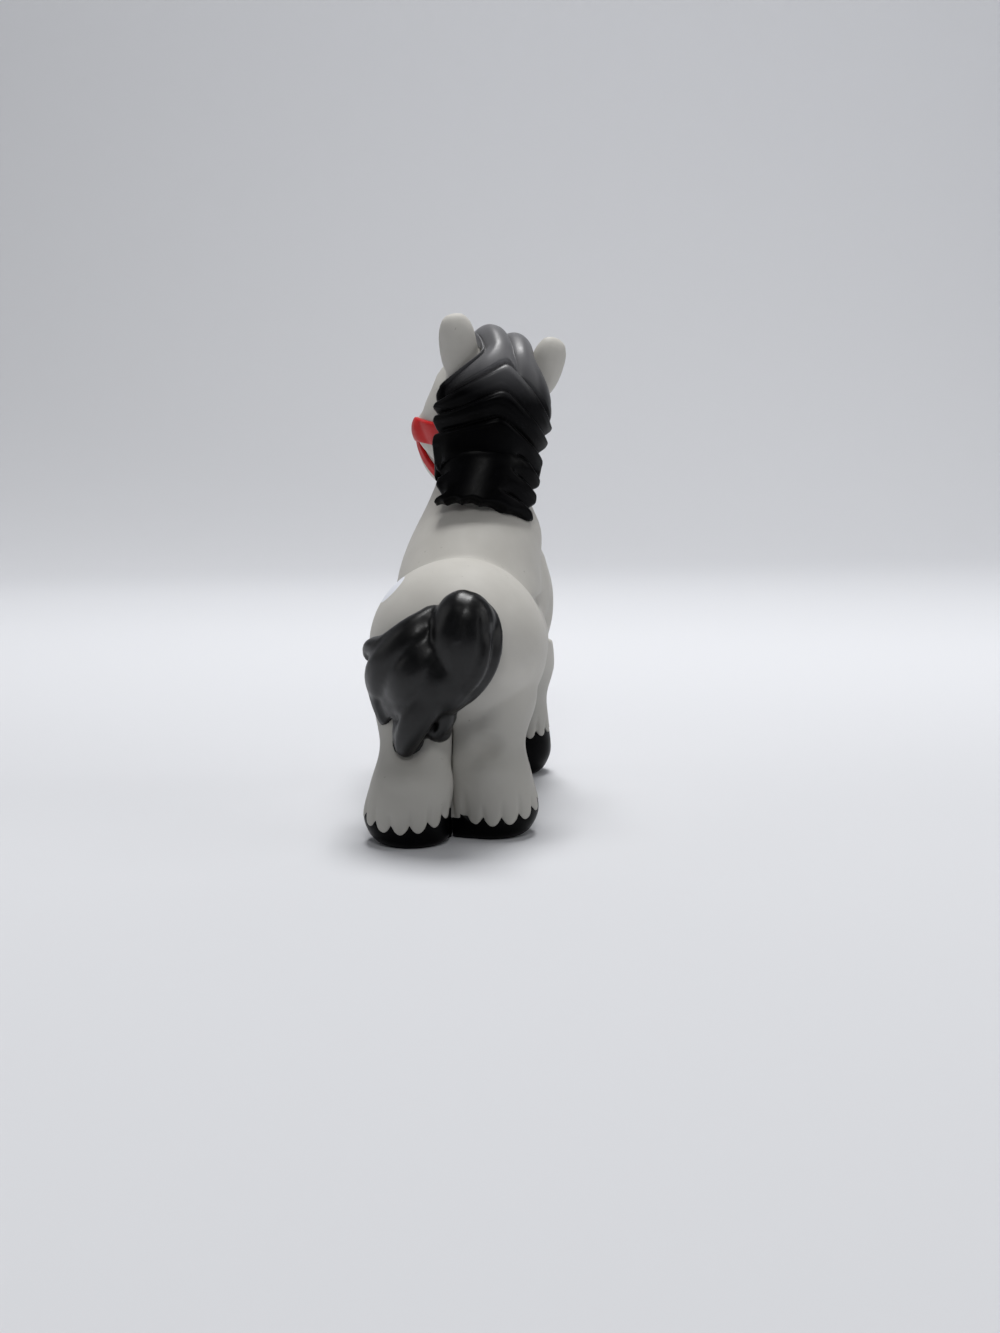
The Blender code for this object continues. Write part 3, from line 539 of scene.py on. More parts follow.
def body_volumes(with_ears):
    """The whole horse as overlapping masses."""
    bm = bmesh.new()
    for mass in (HAUNCH, BARREL, CHEST, SKULL, CHEEK, NOSE, MUZZLE):
        ellipsoid(bm, (0, mass.y, mass.z), (mass.width, mass.length, mass.depth))
    neck(bm)
    for foot in FEET:
        leg(bm, foot)
    if with_ears:
        for side in (-1, 1):
            share, centre, splay = ear_place(side)
            ellipsoid(bm, centre, (EAR.width * share, EAR.length, EAR.depth * share), splay)
    return bm


def ear_place(side):
    """Size of an ear as a share of the left one's, its centre and its splay in degrees."""
    share, splay = (1, EAR_SPLAY_LEFT) if side > 0 else (RIGHT_EAR_SHARE, -EAR_SPLAY_RIGHT)
    height = EAR.z - (1 - share) * EAR.depth / 2
    return share, Vector((side * EAR_SPREAD, EAR.y, height)), splay


def legs_together(points):
    """Draws the inner sides of the hind legs in to the middle plane."""
    x, y, z = points.T
    share = (
        smooth_step(np.abs(x), TOUCH_REACH, TOUCH_REACH / 2)
        * smooth_step(y, TOUCH_FRONT, TOUCH_FRONT + TOUCH_FADE)
        * smooth_step(y, TOUCH_BACK, TOUCH_BACK - TOUCH_FADE)
        * smooth_step(z, TOUCH_TOP, TOUCH_TOP - 2 * TOUCH_FADE)
    )
    return np.column_stack((mix(x, TOUCH_OPENING * x, share), y, z))


# Sculpting of the skin, by moves along its normals

def hair_height(turn, foot):
    """Height of the scalloped hair edge at an angle round the foot, which is 0 at the horse's left."""
    share = (1 - np.sin(turn)) / 2
    rim = 0.5 - np.abs(np.sin(SCALLOPS * turn / 2))
    return mix(foot.hair_behind, foot.hair_before, share) + SCALLOP_HEIGHT * rim


def near_foot(points, foot):
    """Which points lie on a foot, their angles round it and their heights over its hair edge."""
    x, y, z = (points - (foot.x, foot.y, 0)).T
    distance = np.hypot(x, y)
    others = [np.hypot(*(points[:, :2] - (other.x, other.y)).T) for other in FEET if other != foot]
    inward = points[:, 0] * copysign(1, foot.x)
    own = (inward > -1e-7) | ((inward > -TOUCH_CROSSING) & (distance < np.min(others, axis=0)))
    near = (distance < 1.5 * foot.radius) & (z < foot.hair_before + 2 * TUFT_GROOVE_LENGTH) & own
    turn = np.arctan2(y, x)
    return near, turn, z - hair_height(turn, foot)


def tuft_grooves(points):
    """Depth of the grooves between the hair tufts, which fade upwards."""
    depth = np.zeros(len(points))
    for foot in FEET:
        near, turn, above = near_foot(points, foot)
        valley = (1 - np.abs(np.sin(SCALLOPS * turn / 2))) ** 1.6
        uneven = 0.75 + 0.25 * np.sin(5 * turn + foot.y * 900)
        fade = 1 - smooth_step(above, 0, TUFT_GROOVE_LENGTH * uneven)
        depth = np.where(near, np.maximum(depth, TUFT_GROOVE_DEPTH * valley * fade), depth)
    return depth


def ear_frame(points, side):
    """Places across, through and up an ear, as shares of its half sizes."""
    size, centre, splay = ear_place(side)
    across, up = turned(points[:, 0] - centre.x, points[:, 2] - centre.z, radians(splay))
    across /= size * EAR.width / 2
    up /= size * EAR.depth / 2
    through_ear = (points[:, 1] - EAR.y) / (EAR.length / 2)
    return across, through_ear, up


def face_relief(points):
    """How far the face moves out along its normals: eyes, nostrils and mouth."""
    x, y, z = np.abs(points[:, 0]), points[:, 1], points[:, 2]
    eye = np.hypot((y + EYE_FORWARD) / (1.35 * EYE_HALF_WIDTH), (z - EYE_HEIGHT) / (1.35 * EYE_HALF_HEIGHT))
    move = EYE_BULGE * np.where(x > EYE_SIDE, bump(eye), 0)
    brow_line = EYE_HEIGHT + 1.5 * EYE_HALF_HEIGHT - 60 * (y + EYE_FORWARD) ** 2
    brow = np.hypot((y + EYE_FORWARD) / (2.2 * EYE_HALF_WIDTH), (z - brow_line) / BROW_HALF_HEIGHT)
    move += BROW_RISE * np.where(x > EYE_SIDE, bump(brow), 0)
    front = y < MUZZLE.y
    nostril = np.hypot(x - NOSTRIL_SPREAD, z - NOSTRIL_HEIGHT) / (1.5 * NOSTRIL_RADIUS)
    rim = np.hypot(x - NOSTRIL_SPREAD, z - NOSTRIL_HEIGHT) / (2.8 * NOSTRIL_RADIUS)
    move += np.where(front, NOSTRIL_RIM * bump(rim) - (NOSTRIL_DEPTH + NOSTRIL_RIM) * bump(nostril), 0)
    mouth_line = MOUTH_HEIGHT + 12 * x ** 2
    lip = smooth_step(-y, MOUTH_BACK_END, MOUTH_BACK_END + 0.0012)
    move -= MOUTH_DEPTH * lip * bump(np.abs(z - mouth_line) / (2.2 * MOUTH_HALF_WIDTH)) * (z < MOUTH_TOP)
    return move


def muscle_relief(points):
    """Shallow creases where the legs meet the trunk, and the hocks and knees."""
    x, y, z = np.abs(points[:, 0]), points[:, 1], points[:, 2]
    move = 0
    for place, height, slope, middle, half_height in CREASES:
        line = np.abs(y - place - slope * (z - height)) / CREASE_HALF_WIDTH
        side = smooth_step(x, 0.006, 0.010)
        move -= CREASE_DEPTH * bump(line) * side * bump((z - middle) / half_height)
    knee = np.hypot((z - KNEE_HEIGHT) / KNEE_HALF_HEIGHT, (x - KNEE_SPREAD) / KNEE_HALF_WIDTH)
    move += KNEE_BULGE * bump(knee) * smooth_step(-y, 0.0220, 0.0240)
    for foot in FEET[:2]:
        aside = (points[:, 0] - copysign(PASTERN_SPREAD, foot.x)) / HOCK_HALF_WIDTH
        behind = smooth_step(y, foot.y - 0.002, foot.y)
        move -= HOCK_DEPTH * bump(np.hypot(aside, (z - HOCK_HEIGHT) / HOCK_HALF_HEIGHT)) * behind
        ridge = np.hypot(aside / 1.4, (z - HOCK_RIDGE_HEIGHT) / HOCK_RIDGE_HALF_HEIGHT)
        move += HOCK_RIDGE * bump(ridge) * behind
    return move


def neck_root_shift(points):
    """The root of the neck stands a little to the horse's right, against the lean of the head."""
    z = points[:, 2]
    points[:, 0] -= NECK_ROOT_SHIFT * smooth_step(z, 0.040, 0.052) * smooth_step(z, 0.064, 0.055)


def cheeks(points):
    """Fills out the cheeks at the sides of the skull."""
    x, y, z = points.T
    full = bump(np.hypot((y - CHEEK.y) / CHEEK_HALF_LENGTH, (z - CHEEK.z) / CHEEK_HALF_HEIGHT))
    points[:, 0] += CHEEK_FILL * full * smooth_step(np.abs(x), 0.001, 0.006) * np.sign(x)


def thumb_ears(points):
    """Fills out the ears' tips, which are blunt like a thumb."""
    for side in (-1, 1):
        size, _, splay = ear_place(side)
        across, through_ear, up = ear_frame(points, side)
        ear = (np.hypot(across, up) < 1.15) & (np.abs(through_ear) < 1.3) & (up > 0)
        length = np.maximum(np.hypot(across, up), 1e-6)
        blunt = (np.abs(across) / length) ** EAR_BLUNT + (np.abs(up) / length) ** EAR_BLUNT
        blunt **= -1 / EAR_BLUNT
        grow = np.where(ear, (blunt - 1) * smooth_step(up, 0.0, 0.35), 0)
        aside, upward = grow * across * size * EAR.width / 2, grow * up * size * EAR.depth / 2
        aside, upward = turned(aside, upward, -radians(splay))
        points[:, 0] += aside
        points[:, 2] += upward


def sculpt(skin):
    """The body's modelled detail."""
    mesh = skin.data
    write_points(mesh, legs_together(read_points(mesh)))
    points, normals = read_points(mesh), read_normals(mesh)
    move = face_relief(points) + muscle_relief(points) - tuft_grooves(points)
    for side in (-1, 1):
        across, through_ear, up = ear_frame(points, side)
        cup = bump(np.hypot(across / 0.72, (up + 0.05) / 0.78))
        front = (through_ear < 0) & (up > -0.9)
        points[:, 1] += np.where(front, EAR_CUP * EAR.length * cup * (1 - 0.15 * up), 0)
    points += normals * move[:, None]
    thumb_ears(points)
    cheeks(points)
    neck_root_shift(points)
    write_points(mesh, points)


# The hair edge

def split_by(bm, values):
    """Splits the mesh along the line where the values pass through 0. New points have the value 0."""
    made = []
    for edge in list(bm.edges):
        a, b = edge.verts
        low, high = values[a], values[b]
        if low * high < 0:
            _, new = bmesh.utils.edge_split(edge, a, low / (low - high))
            values[new] = 0.0
            made.append(new)
    bmesh.ops.connect_verts(bm, verts=made)


def foot_values(bm, foot):
    """Height of each vertex over the hair edge, or a plain 1 away from this foot."""
    verts = list(bm.verts)
    near, _, above = near_foot(np.array([vertex.co for vertex in verts]), foot)
    above = np.where(np.abs(above) < 1e-6, 1e-6, above)
    return {vertex: (value if close else 1.0) for vertex, value, close in zip(verts, above, near)}


def foot_under(vertex):
    """The foot nearest to a point of the hair edge."""
    return min(FEET, key=lambda foot: hypot(vertex.co.x - foot.x, vertex.co.y - foot.y))


def only(kind, items):
    return [item for item in items if isinstance(item, kind)]


def cut_at_hair(bm):
    """Removes the hooves from the skin and closes each leg with a lip that tucks in over its hoof."""
    for foot in FEET:
        values = foot_values(bm, foot)
        split_by(bm, values)
        bmesh.ops.delete(bm, geom=[v for v in bm.verts if values[v] < 0], context="VERTS")
    rim = [edge for edge in bm.edges if edge.is_boundary]
    for inward, drop in ((HAIR_LIP, 0.6 * HAIR_LIP), (HAIR_UNDERCUT, -0.0002)):
        extruded = bmesh.ops.extrude_edge_only(bm, edges=rim)["geom"]
        for vertex in only(BMVert, extruded):
            foot = foot_under(vertex)
            radial = Vector((vertex.co.x - foot.x, vertex.co.y - foot.y, 0)).normalized()
            vertex.co -= radial * inward + Vector((0, 0, drop))
        rim = [edge for edge in only(BMEdge, extruded) if edge.is_boundary]
    last = only(BMVert, bmesh.ops.extrude_edge_only(bm, edges=rim)["geom"])
    groups = [(foot, [vertex for vertex in last if foot_under(vertex) == foot]) for foot in FEET]
    for foot, own in groups:
        bmesh.ops.pointmerge(bm, verts=own, merge_co=Vector((foot.x, foot.y, foot.hair_before + 0.001)))


def body_halves():
    """Left and right halves of the body, closed on the middle plane, and the whole skin's shape."""
    skin = fused("skin", body_volumes(True), SKIN_VOXEL, SKIN_PASSES)
    sculpt(skin)
    bm = bmesh_from(skin)
    cut_at_hair(bm)
    discard(skin)
    halves = []
    for name, side in (("body_left", 1), ("body_right", -1)):
        half = bm.copy()
        cut = bmesh.ops.bisect_plane(
            half, geom=[*half.verts, *half.edges, *half.faces], dist=1e-7,
            plane_co=(0, 0, 0), plane_no=(side, 0, 0), clear_inner=True,
        )["geom_cut"]
        edges = [edge for edge in only(BMEdge, cut) if edge.is_boundary]
        bmesh.ops.triangle_fill(half, use_beauty=True, use_dissolve=False, edges=edges)
        keep_largest(half)
        bmesh.ops.holes_fill(half, edges=[edge for edge in half.edges if edge.is_boundary])
        halves.append(object_from_bmesh(name, half))
    whole = object_from_bmesh("whole", bm)
    return halves, whole


# Hooves

def hoof(foot):
    """A hoof: turned round its leg's axis, with its top edge tucked under the hair."""
    x_places, y_places, heights, radii = zip(*leg_stations(foot, 80))
    segments = 8 * SCALLOPS
    side_rows = 22
    side = copysign(1, foot.x)

    def ring(inset, height_at):
        points = []
        for i in range(segments):
            turn = 2 * pi * i / segments
            z = height_at(turn)
            x, y, radius = (float(np.interp(z, heights, row)) for row in (x_places, y_places, radii))
            reach = radius - inset(turn, z)
            points.append((x + reach * cos(turn), y + reach * sin(turn), z))
        drawn = legs_together(np.array(points))
        drawn[:, 0] = side * np.maximum(side * drawn[:, 0], HOOF_GAP)
        return [Vector(point) for point in drawn]

    def side_inset(turn, z):
        under = smooth_step(z, hair_height(turn, foot) - 0.0001, hair_height(turn, foot) + 0.0004)
        return HOOF_INSET + HOOF_TUCK_INSET * float(under)

    rings = [ring(lambda turn, z: 0.5 * foot.radius, lambda turn: 0.0)]
    for step in range(4):
        bend = pi / 2 * step / 4
        inset = HOOF_INSET + SOLE_ROUNDING * (1 - sin(bend))
        rings.append(ring(lambda turn, z: inset, lambda turn: SOLE_ROUNDING * (1 - cos(bend))))
    for row in range(side_rows):
        share = row / (side_rows - 1)
        rings.append(ring(side_inset, lambda turn: mix(
            SOLE_ROUNDING, float(hair_height(turn, foot)) + HOOF_TUCK_HEIGHT, share)))
    bm = bmesh.new()
    tube(bm, rings)
    return object_from_bmesh(foot.name + "_hoof", bm)


# Mane

def crest_stations():
    """Y, Z, half width and depth of the skin along the crest, from the withers to the forehead."""
    neck_back = NECK_LENGTH / 2 - NECK_FORWARD
    skull_back = SKULL.length / 2 + SKULL.y
    skull_front = SKULL.y - SKULL.length / 2
    skull_top = SKULL.z + SKULL.depth / 2
    neck_half, skull_half = NECK_WIDTH / 2, SKULL.width / 2
    return [
        (neck_back + 0.0030, MANE_BOTTOM_HEIGHT - 0.0010, neck_half + 0.0012, NECK_LENGTH / 2),
        (neck_back + 0.0006, MANE_BOTTOM_HEIGHT + 0.0055, neck_half + 0.0002, NECK_LENGTH / 2),
        (skull_back, SKULL.z - 0.0070, neck_half + 0.0006, NECK_LENGTH / 2),
        (skull_back - 0.0002, SKULL.z, skull_half - 0.0006, SKULL.length / 2),
        (skull_back - 0.0022, SKULL.z + 0.0064, skull_half - 0.0012, SKULL.length / 2),
        (skull_back - 0.0065, skull_top - 0.0014, skull_half - 0.0010, SKULL.depth / 2),
        (SKULL.y, skull_top, skull_half, SKULL.depth / 2),
        (skull_front + 0.0052, skull_top - 0.0026, skull_half, SKULL.depth / 2),
        (skull_front + 0.0016, SKULL.z + 0.0058, skull_half, SKULL.length / 2),
    ]


def crest_table():
    """Crest points with their distance along the crest, worked out once."""
    table = []
    arc = 0.0
    for y, z, half_width, depth in through(crest_stations(), 129):
        if table:
            arc += hypot(y - table[-1][1], z - table[-1][2])
        table.append((arc, y, z, half_width, depth))
    return table


CREST = crest_table()
CREST_LENGTH = CREST[-1][0]
POLL_ARC = next(row[0] for row in CREST if row[2] > POLL_HEIGHT)


def crest_at(arc):
    """Crest point, outward direction, half width and depth at a distance along the crest."""
    below = min(0.0, arc)
    arc = min(CREST_LENGTH, max(0.0, arc))
    i = next(k for k in range(1, len(CREST)) if CREST[k][0] >= arc)
    before, after = CREST[i - 1], CREST[i]
    share = (arc - before[0]) / (after[0] - before[0])
    y, z, half_width, depth = (mix(p, q, share) for p, q in zip(before[1:], after[1:]))
    along = Vector((0, after[1] - before[1], after[2] - before[2])).normalized()
    outward = Vector((0, along.z, -along.y))
    return Vector((0, y, z)) + along * below, outward, half_width, depth


def on_crest(arc, wrap):
    """Point of the skin at an angle round from the crest, in degrees, and its outward direction."""
    crest, outward, half_width, depth = crest_at(arc)
    turn = radians(wrap)
    sideways = Vector((1, 0, 0))
    point = crest + outward * ((cos(turn) - 1) * depth) + sideways * (sin(turn) * half_width)
    normal = (outward * cos(turn) + sideways * sin(turn)).normalized()
    return point, normal


def mane_side(side):
    return MANE_LEFT if side > 0 else MANE_RIGHT


def wrap_at(arc, side):
    """How far round the mane reaches on one side, in degrees, at a distance along the crest."""
    own = mane_side(side)
    end = own.wrap_end + own.corner * ease(arc, 0.0030, 0.0008)
    widest = mix(end, own.wrap, ease(arc, own.full_from * POLL_ARC, own.full_to * POLL_ARC))
    return mix(widest, own.between, ease(arc, POLL_ARC - 0.0015, POLL_ARC + 0.0055))


def lock_place(arc, side_share):
    """Number of the lock at a place on the mane, counted down from the poll, with its fraction."""
    drop = mix(LOCK_END_DROP, LOCK_DROP, ease(arc, 0, POLL_ARC))
    side = hypot(side_share - LOCK_PARTING, LOCK_APEX) - LOCK_APEX
    return (POLL_ARC - LOCK_START - arc - drop * side) / LOCK_PITCH


def tuft_lobe(side_share):
    """Height of the tuft between the ears, as a share of its relief: three unequal lobes."""
    for low, high, tall in TUFT_LOBES:
        if low < side_share < high:
            return tall * sin(pi * (side_share - low) / (high - low)) ** 0.55
    return 0


def mane_height(arc, side_share):
    """Height of the mane's outer face over the skin."""
    place = lock_place(arc, side_share)
    row = max(-1, floor(place))
    share = min(1.0, max(0.0, place - row))
    roll = sin(pi * share ** LOCK_LIP) ** 0.75 if 0 < share < 1 else 0
    strands = STRAND_DEPTH * cos(2 * pi * 3 * share + 5 * side_share)
    if place > RAISED_ROWS - 1 + 0.5 ** (1 / LOCK_LIP):
        middle = float(smooth_step(side_share, -0.50, -0.15) * smooth_step(side_share, 0.92, 0.70))
        roll = mix(roll, 0.95 - 0.04 * (place - RAISED_ROWS), middle)
        strands *= 1 - middle
    chevron = LOCK_RELIEF * roll + strands
    tuft = TUFT_RELIEF * tuft_lobe(side_share) + STRAND_DEPTH * cos(14 * side_share)
    return MANE_THICKNESS + mix(chevron, tuft, ease(-place, 0.9, 1.15))


def larger(a, b, soft):
    """The larger of two values, with a rounded change from one to the other."""
    return 0.5 * (a + b + hypot(a - b, soft))


def mane(ground):
    """The mane: a closed sheet over the crest whose outer face is modelled into locks."""
    outer, inner = [], []
    end = CREST_LENGTH * MANE_END
    for i in range(MANE_ROWS):
        outer_row, inner_row = [], []
        for j in range(MANE_COLUMNS):
            side_share = 2 * j / (MANE_COLUMNS - 1) - 1
            ragged = MANE_RAGGED * abs(sin(pi * (2.5 * side_share + 0.3)))
            lowest = ragged - 0.0008 - 0.0013 * ease(side_share, 0.1, -0.9)
            arc = mix(lowest, end, i / (MANE_ROWS - 1))
            limit = wrap_at(arc, side_share)
            tip = cos(2 * pi * (lock_place(arc, side_share) - 0.5))
            below_poll = smooth_step(-arc, -POLL_ARC, -POLL_ARC + 0.002)
            tip *= float(smooth_step(abs(side_share), 0.6, 1) * below_poll)
            wrap = side_share * (limit + mane_side(side_share).tip * (tip - 1))
            from_side = (1 - abs(side_share)) * radians(limit) * MANE_RADIUS
            edge = min(from_side, arc - lowest, end - arc) / MANE_ROUNDING
            edge_round = sqrt(max(0.0, 1 - (1 - min(1.0, max(0.0, edge))) ** 2))
            point, normal = on_crest(arc, wrap)
            hit = ground.ray_cast(point + normal * SKIN_SEARCH, -normal, SKIN_REACH)[0]
            skin = -MANE_HANG if hit is None else (hit - point).dot(normal)
            full = larger(mane_height(arc, side_share), skin + 0.0008, 0.0008)
            under = larger(full - MANE_HANG, skin + SEAT_GAP, 0.00001)
            outer_row.append(point + normal * mix(under + MANE_EDGE, full, edge_round))
            inner_row.append(point + normal * under)
        outer.append(outer_row)
        inner.append(inner_row)
    return sheet("mane_hair", outer, inner)


def sheet(name, outer, inner):
    """A closed body between two grids of points."""
    bm = bmesh.new()
    rows, columns = len(outer), len(outer[0])
    top = [[bm.verts.new(point) for point in row] for row in outer]
    under = [[bm.verts.new(point) for point in row] for row in inner]
    for i in range(rows - 1):
        for j in range(columns - 1):
            bm.faces.new((top[i][j], top[i][j + 1], top[i + 1][j + 1], top[i + 1][j]))
            bm.faces.new((under[i + 1][j], under[i + 1][j + 1], under[i][j + 1], under[i][j]))
    around = [(0, j) for j in range(columns)] + [(i, columns - 1) for i in range(1, rows)]
    around += [(rows - 1, j) for j in range(columns - 2, -1, -1)] + [(i, 0) for i in range(rows - 2, 0, -1)]
    for (a, b), (c, d) in zip(around, around[1:] + around[:1]):
        bm.faces.new((top[a][b], under[a][b], under[c][d], top[c][d]))
    return object_from_bmesh(name, bm)


# Tail

def rump_surface(x, z):
    """Y of the haunch's rear at a sideways place and height."""
    across = (2 * x / HAUNCH.width) ** 2
    up = (2 * (z - HAUNCH.z) / HAUNCH.depth) ** 2
    return HAUNCH.y + HAUNCH.length / 2 * sqrt(max(0.02, 1 - across - up))


def tail_root():
    return Vector((0, rump_surface(0, TAIL_ROOT_HEIGHT), TAIL_ROOT_HEIGHT))


def tail_locks(samples):
    """Width, path and outward directions of each lock."""
    root = tail_root()
    locks = []
    for width, stations in TAIL_LOCKS:
        path, outward = [], []
        for swing, rise, stand_off in through(stations, samples):
            x = TAIL_SWING * swing
            z = root.z + TAIL_DROP * rise
            y = rump_surface(x, max(z, HAUNCH.z - TAIL_DROP * 0.28))
            path.append(Vector((x, y + TAIL_STAND_OFF * stand_off, z)))
            outward.append(Vector((1.6 * x, HAUNCH.length / 2, 0.3 * TAIL_DROP * rise)).normalized())
        locks.append((TAIL_LOCK_WIDTH * width, path, outward))
    return locks


def tail_strands(points):
    """Depth of the fine grooves that run along each lock of the tail."""
    nearest = np.full(len(points), 1e9)
    place = np.zeros(len(points))
    for width, path, outward in tail_locks(40):
        for i, centre in enumerate(path):
            side, _, taper = lock_section(path, outward, i)
            offset = points - np.array(centre)
            distance = np.linalg.norm(offset, axis=1) / width
            closer = distance < nearest
            nearest = np.where(closer, distance, nearest)
            place = np.where(closer, offset @ np.array(side) / (width / 2 * taper), place)
    return TAIL_STRAND_DEPTH * (0.5 + 0.5 * np.cos(pi * 2.2 * place)) * (np.abs(place) < 1.2)


def keep_outside(mesh, ground):
    """Moves points that lie in the ground's skin, or too near it, out to the seat gap."""
    for vertex in mesh.vertices:
        place, normal = ground.find_nearest(vertex.co)[:2]
        if (vertex.co - place).dot(normal) < SEAT_GAP:
            vertex.co = place + normal * SEAT_GAP


def tail(ground):
    bm = bmesh.new()
    root = tail_root()
    width = 2 * TAIL_BULB_RADIUS
    for place, shares, splay in TAIL_MASSES:
        ellipsoid(bm, root + Vector(place), [share * width for share in shares], splay)
    for width, path, outward in tail_locks(28):
        lock(bm, path, width, TAIL_LOCK_THICKNESS, outward)
    hair = fused("tail_hair", bm, TAIL_VOXEL, TAIL_PASSES)
    points = read_points(hair.data)
    write_points(hair.data, points - read_normals(hair.data) * tail_strands(points)[:, None])
    keep_outside(hair.data, ground)
    return hair


# Halter

def strap_section(share, width):
    """Height of the strap's outer face at a share of its width from 0 to 1, with rounded edges."""
    inward = min(share, 1 - share) * width
    edge = min(1.0, inward / STRAP_ROUNDING)
    return STRAP_THICKNESS - STRAP_ROUNDING * (1 - sqrt(1 - (1 - edge) ** 2))


def strap(name, lines, width, closed):
    """A strap on the skin: each line holds the skin's points and normals across the strap."""
    section = [SEAT_GAP + strap_section(k / (STRAP_POINTS - 1), width) for k in range(STRAP_POINTS)]
    outer = [[p + n * lift for (p, n), lift in zip(line, section)] for line in lines]
    inner = [[p + n * SEAT_GAP for p, n in line] for line in lines]
    if closed:
        bm = bmesh.new()
        tube(bm, [top + under[::-1] for top, under in zip(outer, inner)], closed)
        return object_from_bmesh(name, bm)
    for row in (0, -1):
        outer[row] = [mix(a, b, 0.35) for a, b in zip(inner[row], outer[row])]
    return sheet(name, outer, inner)


def strap_lines(ground, rows, ray):
    """The skin's points and normals where a strap's rays meet it, for its rows and across each."""
    return [
        [ground.ray_cast(*ray(row, k / (STRAP_POINTS - 1) - 0.5))[:2] for k in range(STRAP_POINTS)]
        for row in range(rows)
    ]


def noseband(ground):
    tilt = radians(NOSEBAND_TILT)
    along = Vector((0, cos(tilt), sin(tilt)))
    up = Vector((0, -sin(tilt), cos(tilt)))
    centre = Vector((0, -NOSEBAND_FORWARD, MUZZLE.z))

    def ray(row, across):
        turn = 2 * pi * row / NOSEBAND_ROWS
        out = Vector((1, 0, 0)) * cos(turn) + up * sin(turn)
        return centre + along * (NOSEBAND_WIDTH * across + (NOSEBAND_WIDTH - STRAP_WIDTH) / 2), out

    return strap("noseband", strap_lines(ground, NOSEBAND_ROWS, ray), NOSEBAND_WIDTH, True)


def cheekpiece(ground, side):
    """A strap along the cheek, from under the noseband to the mane's edge."""
    end = min(
        (on_crest(arc, side * wrap_at(arc, side))[0] for arc in np.linspace(0, POLL_ARC, 60)),
        key=lambda point: abs(point.z - CHEEKPIECE_HEIGHT),
    ).y
    start = -NOSEBAND_FORWARD + 0.3 * STRAP_WIDTH

    def ray(row, across):
        y = mix(start, end - 0.0004, row / (CHEEKPIECE_ROWS - 1))
        place = Vector((side * 0.03, y, CHEEKPIECE_HEIGHT + CHEEKPIECE_WIDTH * across))
        return place, Vector((-side, 0, 0))

    return strap("cheekpiece", strap_lines(ground, CHEEKPIECE_ROWS, ray), CHEEKPIECE_WIDTH, False)


def halter(ground):
    parts = [noseband(ground), cheekpiece(ground, 1), cheekpiece(ground, -1)]
    bm = bmesh_from(*parts)
    discard(*parts)
    return object_from_bmesh("halter_straps", bm)


# Pose of the head

def bend(points):
    """Turns and leans what lies above the neck's root."""
    reach = np.array((0, -0.35, 0.94))
    reach /= np.linalg.norm(reach)
    root = np.array((0, -TWIST_FORWARD, TWIST_HEIGHT))
    share = smooth_step((points - root) @ reach, TWIST_START, TWIST_START + TWIST_LENGTH)
    turn = np.radians(HEAD_TURN) * share
    lean = np.radians(HEAD_LEAN) * share
    x, y, z = points.T
    y = y + TURN_AXIS_FORWARD
    x, y = turned(x, y, turn)
    y = y - TURN_AXIS_FORWARD
    z = z - LEAN_AXIS_HEIGHT
    x, z = turned(x, z, lean)
    return np.column_stack((x, y, z + LEAN_AXIS_HEIGHT))


def frame_offset():
    """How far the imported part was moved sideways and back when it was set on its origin."""
    low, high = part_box("hoof_rear_left")
    return Vector((low.x - PARTING_GAP / 2, (low.y + high.y) / 2 - FEET[0].y, 0))


def pose(piece, offset):
    """Keeps the straight-neck places for the materials, then bends the piece and sets it on the frame."""
    mesh = piece.data
    points = read_points(mesh)
    rest = mesh.attributes.new("rest", "FLOAT_VECTOR", "POINT")
    rest.data.foreach_set("vector", points.ravel())
    write_points(mesh, bend(points) + np.array(offset))


# Materials

class Nodes:
    """Short calls for building one node material."""

    def __init__(self, name):
        self.material = bpy.data.materials.new(name)
        self.material.use_nodes = True
        self.tree = self.material.node_tree
        self.shader = self.tree.nodes["Principled BSDF"]
        self.rest = self.node("Attribute", attribute_name="rest").outputs["Vector"]

    def join(self, source, socket):
        if isinstance(source, bpy.types.NodeSocket):
            self.tree.links.new(source, socket)
        else:
            socket.default_value = source

    def node(self, kind, values=(), **settings):
        """A new node with these settings, and these values or sockets in its inputs."""
        node = self.tree.nodes.new("ShaderNode" + kind)
        for name, value in settings.items():
            setattr(node, name, value)
        for place, value in dict(values).items():
            self.join(value, node.inputs[place])
        return node

    def math(self, operation, *values):
        return self.node("Math", enumerate(values), operation=operation).outputs[0]

    def noise(self, scale, detail=3.0, rough=0.5):
        values = {"Vector": self.rest, "Scale": scale, "Detail": detail, "Roughness": rough}
        return self.node("TexNoise", values).outputs["Fac"]

    def blend(self, share, a, b):
        a, b = ((*colour, 1) if isinstance(colour, tuple) else colour for colour in (a, b))
        return self.node("Mix", {"Factor": share, "A": a, "B": b}, data_type="RGBA").outputs["Result"]

    def ramp(self, value, low, high, start=0.0, end=1.0):
        values = {"Value": value, "From Min": low, "From Max": high, "To Min": start, "To Max": end}
        return self.node("MapRange", values, interpolation_type="SMOOTHSTEP").outputs["Result"]

    def axes(self, vector):
        return self.node("SeparateXYZ", {0: vector}).outputs

    def relief(self, height, strength, distance):
        values = {"Strength": strength, "Distance": distance, "Height": height}
        self.set(Normal=self.node("Bump", values).outputs["Normal"])

    def set(self, **sockets):
        for name, value in sockets.items():
            self.join(value, self.shader.inputs[name.replace("_", " ")])


